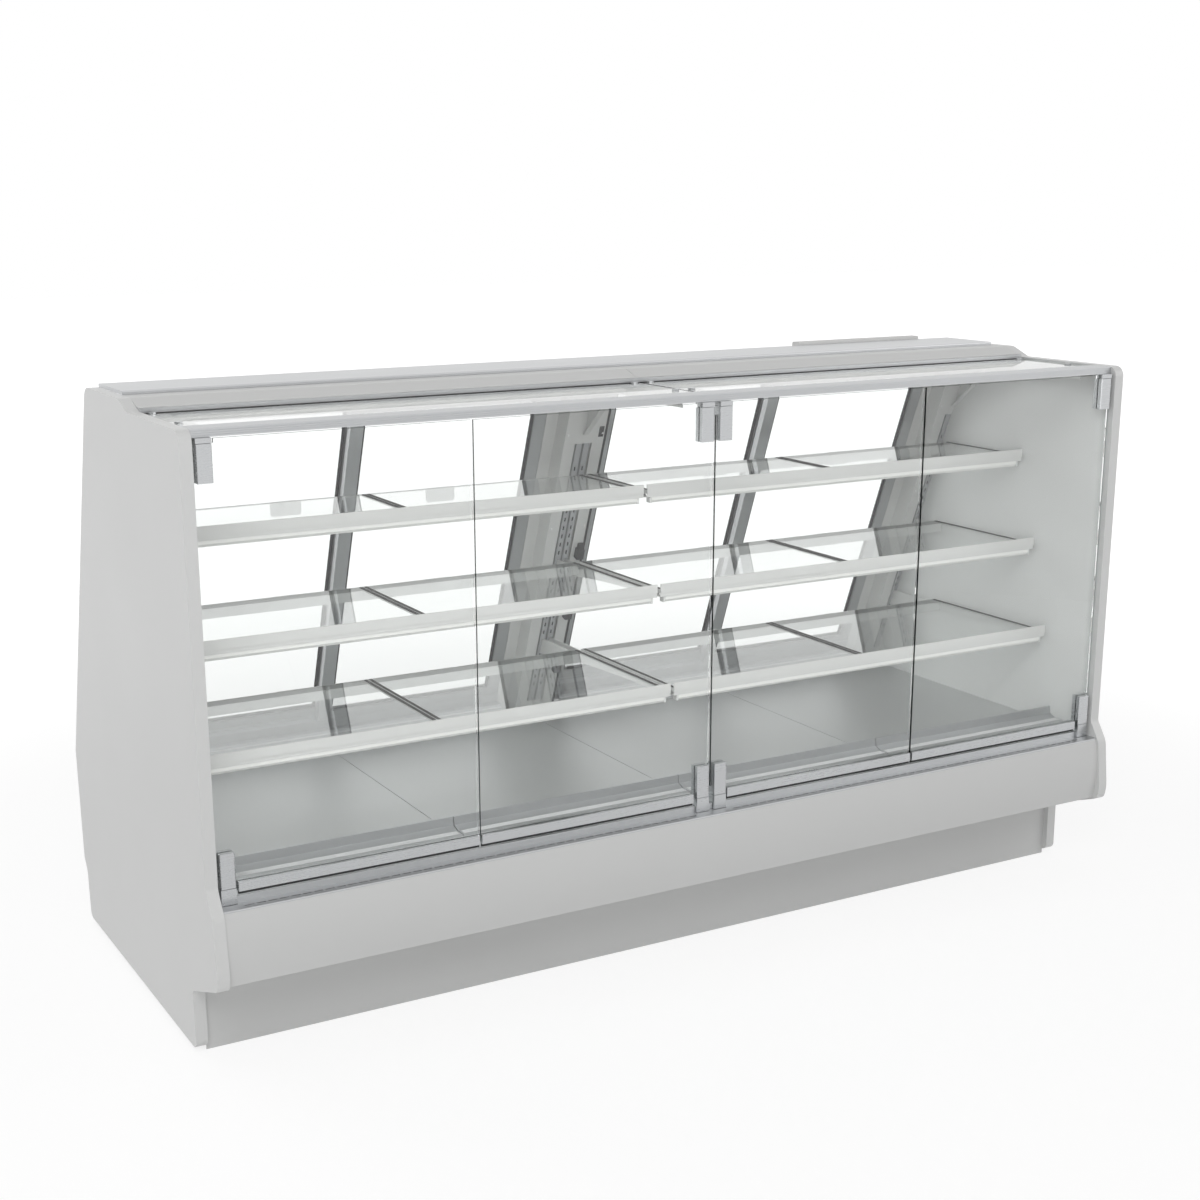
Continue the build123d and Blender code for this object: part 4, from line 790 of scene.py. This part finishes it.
class CASE_OT_rear_gaskets(bpy.types.Operator):
    """Glazing gaskets on both faces of the rear doors"""

    bl_idname = "case.rear_gaskets"
    bl_label = "Rear door gaskets"

    def execute(self, context):
        for number in range(1, 5):
            node = f"rear_door_{number}_glass"
            data = mesh_from(node + "_gasket", lambda work: self.gasket(work, node))
            new_piece(f"rear_door_{number}_gasket", data, "rubber", f"rear_door_{number}")
        return {"FINISHED"}

    def gasket(self, work, node):
        size = sizes()
        thick = 0.008
        low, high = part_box(node)
        centre = Vector([(a + b) / 2 for a, b in zip(low, high)])
        place = Matrix.Translation(centre) @ Matrix.Rotation(REAR_ANGLE, 4, "X")
        half_x = (high[0] - low[0]) / 2
        half_up = ((high[2] - low[2]) - thick * math.sin(REAR_ANGLE)) / (2 * math.cos(REAR_ANGLE))
        inner_x, inner_up = half_x - size.gasket_width, half_up - size.gasket_width
        bars = (
            ((-half_x, -half_up), (half_x, -inner_up)),
            ((-half_x, inner_up), (half_x, half_up)),
            ((-half_x, -inner_up), (-inner_x, inner_up)),
            ((inner_x, -inner_up), (half_x, inner_up)),
        )
        for face in (-1, 1):
            near = face * thick / 2
            depth = sorted((near, near + face * size.gasket_rise))
            for (x0, u0), (x1, u1) in bars:
                add_box(work, (x0, depth[0], u0), (x1, depth[1], u1), place)


class CASE_OT_glass_wipers(bpy.types.Operator):
    """Black wiper strips under the lower rails of the front panes"""

    bl_idname = "case.glass_wipers"
    bl_label = "Glass wipers"

    def execute(self, context):
        rail_foot, clamp_width, pane_gap = 0.4102, 0.040, 0.006
        drop, half_thick = 0.007, 0.002
        for number in range(1, 5):
            door = f"glass_door_{number}"
            low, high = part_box(door + "_fittings")
            left, right = low[0], high[0]
            if number % 2:
                left += clamp_width
            else:
                right -= clamp_width
            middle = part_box(door + "_pane")[1][1] - pane_gap
            strip = ((left, middle - half_thick, rail_foot - drop), (right, middle + half_thick, rail_foot))
            data = mesh_from(door + "_wiper", lambda work: add_box(work, *strip))
            new_piece(door + "_wiper", data, "rubber", door)
        return {"FINISHED"}


class CASE_OT_shelf_seals(bpy.types.Operator):
    """Black seals along both sides of every shelf pane, beside the divider and the side bars"""

    bl_idname = "case.shelf_seals"
    bl_label = "Shelf glass seals"

    def execute(self, context):
        size = sizes()
        end_gap = 0.004
        strips = []
        for low, high in separate_boxes("shelf_glass"):
            for left in (low[0], high[0] - size.seal_width):
                strips.append((
                    (left, low[1] + end_gap, high[2]),
                    (left + size.seal_width, high[1] - end_gap, high[2] + size.seal_rise)))
        boxes_piece("shelf_glass_seals", strips, "rubber", edge=size.seal_rise / 4)
        return {"FINISHED"}


class CASE_OT_canopy_seals(bpy.types.Operator):
    """Black seals between the canopy glass and the rails in front of it and behind it"""

    bl_idname = "case.canopy_seals"
    bl_label = "Canopy seals"

    def execute(self, context):
        size = sizes()
        strips = []
        for low, high in separate_boxes("canopy_glass"):
            for front in (low[1], high[1] - size.seal_width):
                strips.append((
                    (low[0], front, high[2]),
                    (high[0], front + size.seal_width, high[2] + size.seal_rise)))
        boxes_piece("canopy_glass_seals", strips, "rubber", edge=size.seal_rise / 4)
        return {"FINISHED"}


class CASE_OT_sill_slot_painted_shade(bpy.types.Operator):
    """Painted shade: a dark rubber strip under the air slots of the front sill, standing for the shade seen
    through the slots
    """

    bl_idname = "case.sill_gasket"
    bl_label = "Sill slot painted shade"

    def execute(self, context):
        slots_front, slots_back = KICK_FACE - 0.1705, KICK_FACE - 0.1624
        lift, thick, end_margin = 0.0002, 0.0012, 0.012
        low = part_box("lower_front_panel")[1][2] + lift
        reach = WALL_X - end_margin
        # Painted shade: this dark strip stands for the shade seen through the sill's air slots
        strip = ((-reach, slots_front, low), (reach, slots_back, low + thick))
        boxes_piece("sill_slot_painted_shade", [strip], "rubber", edge=0.0003)
        return {"FINISHED"}


class CASE_OT_rail_ribs(bpy.types.Operator):
    """Ribs along the front air rails, and the dark joints of the rails and of the rear steps"""

    bl_idname = "case.rail_ribs"
    bl_label = "Rail ribs"

    def execute(self, context):
        self.ribs()
        self.joints()
        return {"FINISHED"}

    def ribs(self):
        """Three ribs on the ledge of each of the four rails."""
        width, rise, end_margin = 0.0018, 0.0014, 0.012
        ledge_front, ledge_height = KICK_FACE - 0.042, 0.405
        middle = ledge_height + rise / 2
        rail = WALL_X / 2
        rows = [
            plate_row("brushed_steel", 3, ((index + 0.5) * rail - WALL_X, ledge_front, middle),
                      (0, sizes().rib_pitch, 0), (rail - end_margin, width, rise))
            for index in range(4)]
        rows_piece("rail_ribs", rows)

    def joints(self):
        """A line along the front of the rails, and four on the steps below each pair of rear doors."""
        rail_front, rail_height, rail_gap = KICK_FACE - 0.0617, 0.4004, 0.005
        rail_line = (2 * (WALL_X - rail_gap), 0.003, 0.0012)
        rows = [plate_row("rubber", 1, (0, rail_front, rail_height), (0, 0, 0), rail_line)]
        step_front, step_height, step_gap = KICK_FACE + 0.7444, DECK_TOP + 0.0015, 0.002
        step_run, step_rise = 0.015, 0.011
        step_line = (WALL_X - 2 * (JAMB_REACH + step_gap), 0.0012, 0.0025)
        for side in (-1, 1):
            start = (side * WALL_X / 2, step_front, step_height)
            rows.append(plate_row("rubber", 4, start, (0, step_run, step_rise), step_line))
        rows_piece("rail_joints", rows)


class CASE_OT_post_seal(bpy.types.Operator):
    """Ribbed black strip along the right edge of the middle post"""

    bl_idname = "case.post_seal"
    bl_label = "Post seal"

    def execute(self, context):
        low, high = 0.02, 1.0
        width, face, back = 0.0065, 0.002, 0.012
        rib, pitch, proud = 0.0013, 0.0026, 0.001
        strips = [((POST_HALF, face, low), (POST_HALF + width, back, high))]
        for number in range(3):
            left = POST_HALF + number * pitch
            strips.append(((left, -proud, low), (left + rib, face, high)))
        boxes_piece("post_seal", strips, "rubber", edge=0.0003, turn=slope_place())
        return {"FINISHED"}


class CASE_OT_standard_slot_painted_shade(bpy.types.Operator):
    """Painted shade: dark strips inside the slotted standards stand for the shade seen through their slots"""

    bl_idname = "case.standard_backing"
    bl_label = "Standard slot painted shade"

    def execute(self, context):
        inner, outer = 0.0055, 0.0165
        low, high = 0.0720, 0.8840
        face, back = 0.0072, 0.0080
        centres = ((-outer, -inner), (inner, outer))
        ends = ((inner - WALL_X, outer - WALL_X), (WALL_X - outer, WALL_X - inner))
        # Painted shade: dark strips behind the slots, where the posts hold only shade
        strips = [((left, face, low), (right, back, high)) for left, right in centres + ends]
        boxes_piece("standard_slot_painted_shade", strips, "rubber", edge=0.0002, turn=slope_place())
        return {"FINISHED"}


class CASE_OT_gusset_lips(bpy.types.Operator):
    """Folded lips along the sloping edges of the canopy gussets"""

    bl_idname = "case.gusset_lips"
    bl_label = "Gusset lips"

    def execute(self, context):
        reach, width, sheet, end_gap = 0.155, 0.016, 0.002, 0.006
        low_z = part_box("canopy_frame")[0][2]
        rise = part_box("rear_posts")[1][2] - low_z
        length = math.hypot(rise, reach)
        lean = Matrix.Rotation(-math.atan2(rise, reach), 4, "X")
        place = Matrix.Translation((0, slope_point(0, low_z), low_z)) @ lean
        spans = ((-WALL_X, -WALL_X + width), (-width / 2, width / 2), (WALL_X - width, WALL_X))
        lips = [((left, end_gap - length, -sheet), (right, -end_gap, 0)) for left, right in spans]
        boxes_piece("gusset_lips", lips, "post_paint", edge=0.0006, turn=place)
        return {"FINISHED"}


class CASE_OT_lamp_ends(bpy.types.Operator):
    """End caps of the shelf and canopy lamps"""

    bl_idname = "case.lamp_ends"
    bl_label = "Lamp end caps"

    def execute(self, context):
        width, depth = 0.006, 0.018
        caps = []
        for node in ("shelf_light_bars", "canopy_lamps"):
            for low, high in separate_boxes(node):
                for left in (low[0] - width, high[0]):
                    caps.append(((left, low[1], low[2]), (left + width, low[1] + depth, high[2])))
        boxes_piece("lamp_end_caps", caps, "pale_plastic", edge=0.0012)
        return {"FINISHED"}


class CASE_OT_louvre_hoods(bpy.types.Operator):
    """Pressed hoods over the louvres of the rear service panel"""

    bl_idname = "case.louvre_hoods"
    bl_label = "Louvre hoods"

    def execute(self, context):
        hood_depth = sizes().hood_depth
        columns, pitch, length = 6, 0.072, 0.062
        low_row, row_pitch, sheet, tilt = 0.0625, 0.020, 0.0012, 0.35
        panel_fold = 0.025
        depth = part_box("rear_service_panel")[1][1] - panel_fold + hood_depth / 2
        low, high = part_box("condenser_fan")
        first = (low[0] + high[0]) / 2 - (columns - 1) / 2 * pitch
        rows = [
            plate_row("satin_paint", 4, (first + column * pitch, depth, low_row), (0, 0, row_pitch),
                      (length, hood_depth, sheet), tilt)
            for column in range(columns)]
        rows_piece("louvre_hoods", rows)
        return {"FINISHED"}


class CASE_OT_coil_fins(bpy.types.Operator):
    """Fins of the evaporator coil"""

    bl_idname = "case.coil_fins"
    bl_label = "Coil fins"

    def execute(self, context):
        pitch = sizes().fin_pitch
        start, end, sheet = -0.9, 0.6, 0.0006
        extra_depth, extra_height = 0.004, 0.002
        low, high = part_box("evaporator_coil")
        fins = plate_row(
            "coil_metal", int((end - start) / pitch),
            (start + pitch / 2, (low[1] + high[1]) / 2, (low[2] + high[2]) / 2), (pitch, 0, 0),
            (sheet, high[1] - low[1] + extra_depth, high[2] - low[2] + extra_height))
        rows_piece("evaporator_fins", [fins])
        return {"FINISHED"}


class CASE_OT_fan_guards(bpy.types.Operator):
    """Wire guards in front of the fans"""

    bl_idname = "case.fan_guards"
    bl_label = "Fan guards"

    def execute(self, context):
        size = sizes()
        gap, first_ring, growth = 0.004, 0.018, 0.010
        rows = []
        for node in ("evaporator_fan_1", "evaporator_fan_2", "condenser_fan"):
            low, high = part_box(node)
            centre = ((low[0] + high[0]) / 2, low[1] - gap, (low[2] + high[2]) / 2)
            rows.append(run_tree(
                "rings", "clamp_steel", Count=size.guard_rings, Start=centre, Step=(0, 0, 0),
                Turn=(math.pi / 2, 0, 0), Radius=first_ring, Growth=growth, Wire=size.wire_radius))
        rows_piece("fan_guards", rows)
        return {"FINISHED"}


class CASE_OT_stage(bpy.types.Operator):
    """Pale floor, soft lights and the camera"""

    bl_idname = "case.stage"
    bl_label = "Stage"

    def execute(self, context):
        self.floor()
        self.sky()
        self.lamp("key_light", (-3.2, -4.6, 4.6), size=2.6, power=88)
        self.lamp("fill_light", (4.2, -3.4, 3.2), size=3.6, power=38)
        self.lamp("front_light", (-2.4, -5.2, 0.9), size=2.8, power=30)
        self.lamp("rear_light", (-2.8, 3.8, 3.4), size=3.2, power=42)
        self.camera()
        context.scene.view_settings.view_transform = "Standard"
        return {"FINISHED"}

    def floor(self):
        reach = 30
        data = mesh_from("studio_floor", lambda work: bmesh.ops.create_grid(
            work, x_segments=1, y_segments=1, size=reach))
        floor = bpy.data.objects.new("studio_floor", data)
        bpy.context.scene.collection.objects.link(floor)
        material, tree, surface = start_material("studio_floor")
        surface.inputs["Base Color"].default_value = (0.82, 0.82, 0.82, 1)
        surface.inputs["Roughness"].default_value = 0.9
        surface.inputs["Specular IOR Level"].default_value = 0.1
        self.show_pale(tree, surface, self.fade(tree, share=0.70, near=1.9, far=4.5))
        data.materials.append(material)

    def fade(self, tree, share, near, far):
        """A share that grows to 1 between two distances from the case."""
        place = tree.nodes.new("ShaderNodeTexCoord")
        length = tree.nodes.new("ShaderNodeVectorMath")
        length.operation = "LENGTH"
        tree.links.new(place.outputs["Object"], length.inputs[0])
        ramp = tree.nodes.new("ShaderNodeMapRange")
        ramp.interpolation_type = "SMOOTHSTEP"
        tree.links.new(length.outputs["Value"], ramp.inputs["Value"])
        for label, value in (("From Min", near), ("From Max", far), ("To Min", share), ("To Max", 1.0)):
            ramp.inputs[label].default_value = value
        return ramp.outputs["Result"]

    def show_pale(self, tree, surface, share):
        """Camera, glossy and transmission rays see mostly plain white, with the shadow kept."""
        seen = seen_rays(tree)
        white = tree.nodes.new("ShaderNodeEmission")
        white.inputs["Color"].default_value = (1, 1, 1, 1)
        white.inputs["Strength"].default_value = 1.15
        mix = tree.nodes.new("ShaderNodeMixShader")
        tree.links.new(math_node(tree, "MULTIPLY", seen, share), mix.inputs[0])
        tree.links.new(surface.outputs[0], mix.inputs[1])
        tree.links.new(white.outputs[0], mix.inputs[2])
        tree.links.new(mix.outputs[0], tree.nodes["Material Output"].inputs["Surface"])

    def sky(self):
        world = bpy.data.worlds.new("studio_sky")
        bpy.context.scene.world = world
        world.use_nodes = True
        tree = world.node_tree
        background = tree.nodes["Background"]
        strength = math_node(tree, "MULTIPLY_ADD", seen_rays(tree), 0.55, 0.45)
        background.inputs["Color"].default_value = (1, 1, 1, 1)
        tree.links.new(strength, background.inputs["Strength"])

    def lamp(self, name, place, size, power):
        data = bpy.data.lights.new(name, "AREA")
        data.shape = "SQUARE"
        data.size = size
        data.energy = power
        lamp = bpy.data.objects.new(name, data)
        bpy.context.scene.collection.objects.link(lamp)
        lamp.location = place
        middle = Vector((0, 0, 0.7))
        lamp.rotation_euler = (middle - Vector(place)).to_track_quat("-Z", "Y").to_euler()

    def camera(self):
        """The photograph's viewpoint, measured from the front face of the kick panel."""
        place = (-2.26925, KICK_FACE - 3.63193, 1.82128)
        data = bpy.data.cameras.new("view_camera")
        data.sensor_width = 36.0
        data.lens = 54.78
        data.shift_x = -0.0083
        data.shift_y = 0.0547
        data.clip_end = 200
        camera = bpy.data.objects.new("view_camera", data)
        bpy.context.scene.collection.objects.link(camera)
        right = Vector((0.8674, -0.4975, -0.0044))
        back = Vector((-0.4806, -0.8402, 0.2513))
        up = back.cross(right).normalized()
        right = up.cross(back).normalized()
        turn = Matrix((right, up, back.normalized())).transposed().to_4x4()
        camera.matrix_world = Matrix.Translation(place) @ turn
        bpy.context.scene.camera = camera


OPERATORS = (
    CASE_OT_finishes,
    CASE_OT_post_screws,
    CASE_OT_panel_screws,
    CASE_OT_rear_gaskets,
    CASE_OT_glass_wipers,
    CASE_OT_shelf_seals,
    CASE_OT_canopy_seals,
    CASE_OT_sill_slot_painted_shade,
    CASE_OT_rail_ribs,
    CASE_OT_post_seal,
    CASE_OT_standard_slot_painted_shade,
    CASE_OT_gusset_lips,
    CASE_OT_lamp_ends,
    CASE_OT_louvre_hoods,
    CASE_OT_coil_fins,
    CASE_OT_fan_guards,
    CASE_OT_stage,
)


class CASE_PT_display_case(bpy.types.Panel):
    """Pieces of the display case and their sizes"""

    bl_idname = "CASE_PT_display_case"
    bl_label = "Display Case"
    bl_space_type = "VIEW_3D"
    bl_region_type = "UI"
    bl_category = "Display Case"

    def draw(self, context):
        layout = self.layout
        for group in (context.scene.case_colours, context.scene.case_sizes):
            column = layout.column()
            for name in group.__annotations__:
                column.prop(group, name)
        for operator in OPERATORS:
            layout.operator(operator.bl_idname)


CLASSES = (CaseColours, CaseSizes) + OPERATORS + (CASE_PT_display_case,)


def register():
    for item in CLASSES:
        bpy.utils.register_class(item)
    bpy.types.Scene.case_colours = PointerProperty(type=CaseColours)
    bpy.types.Scene.case_sizes = PointerProperty(type=CaseSizes)


def unregister():
    del bpy.types.Scene.case_sizes
    del bpy.types.Scene.case_colours
    for item in reversed(CLASSES):
        bpy.utils.unregister_class(item)


def main():
    register()
    for operator in OPERATORS:
        group, name = operator.bl_idname.split(".")
        getattr(getattr(bpy.ops, group), name)()


if __name__ == "__main__":
    main()
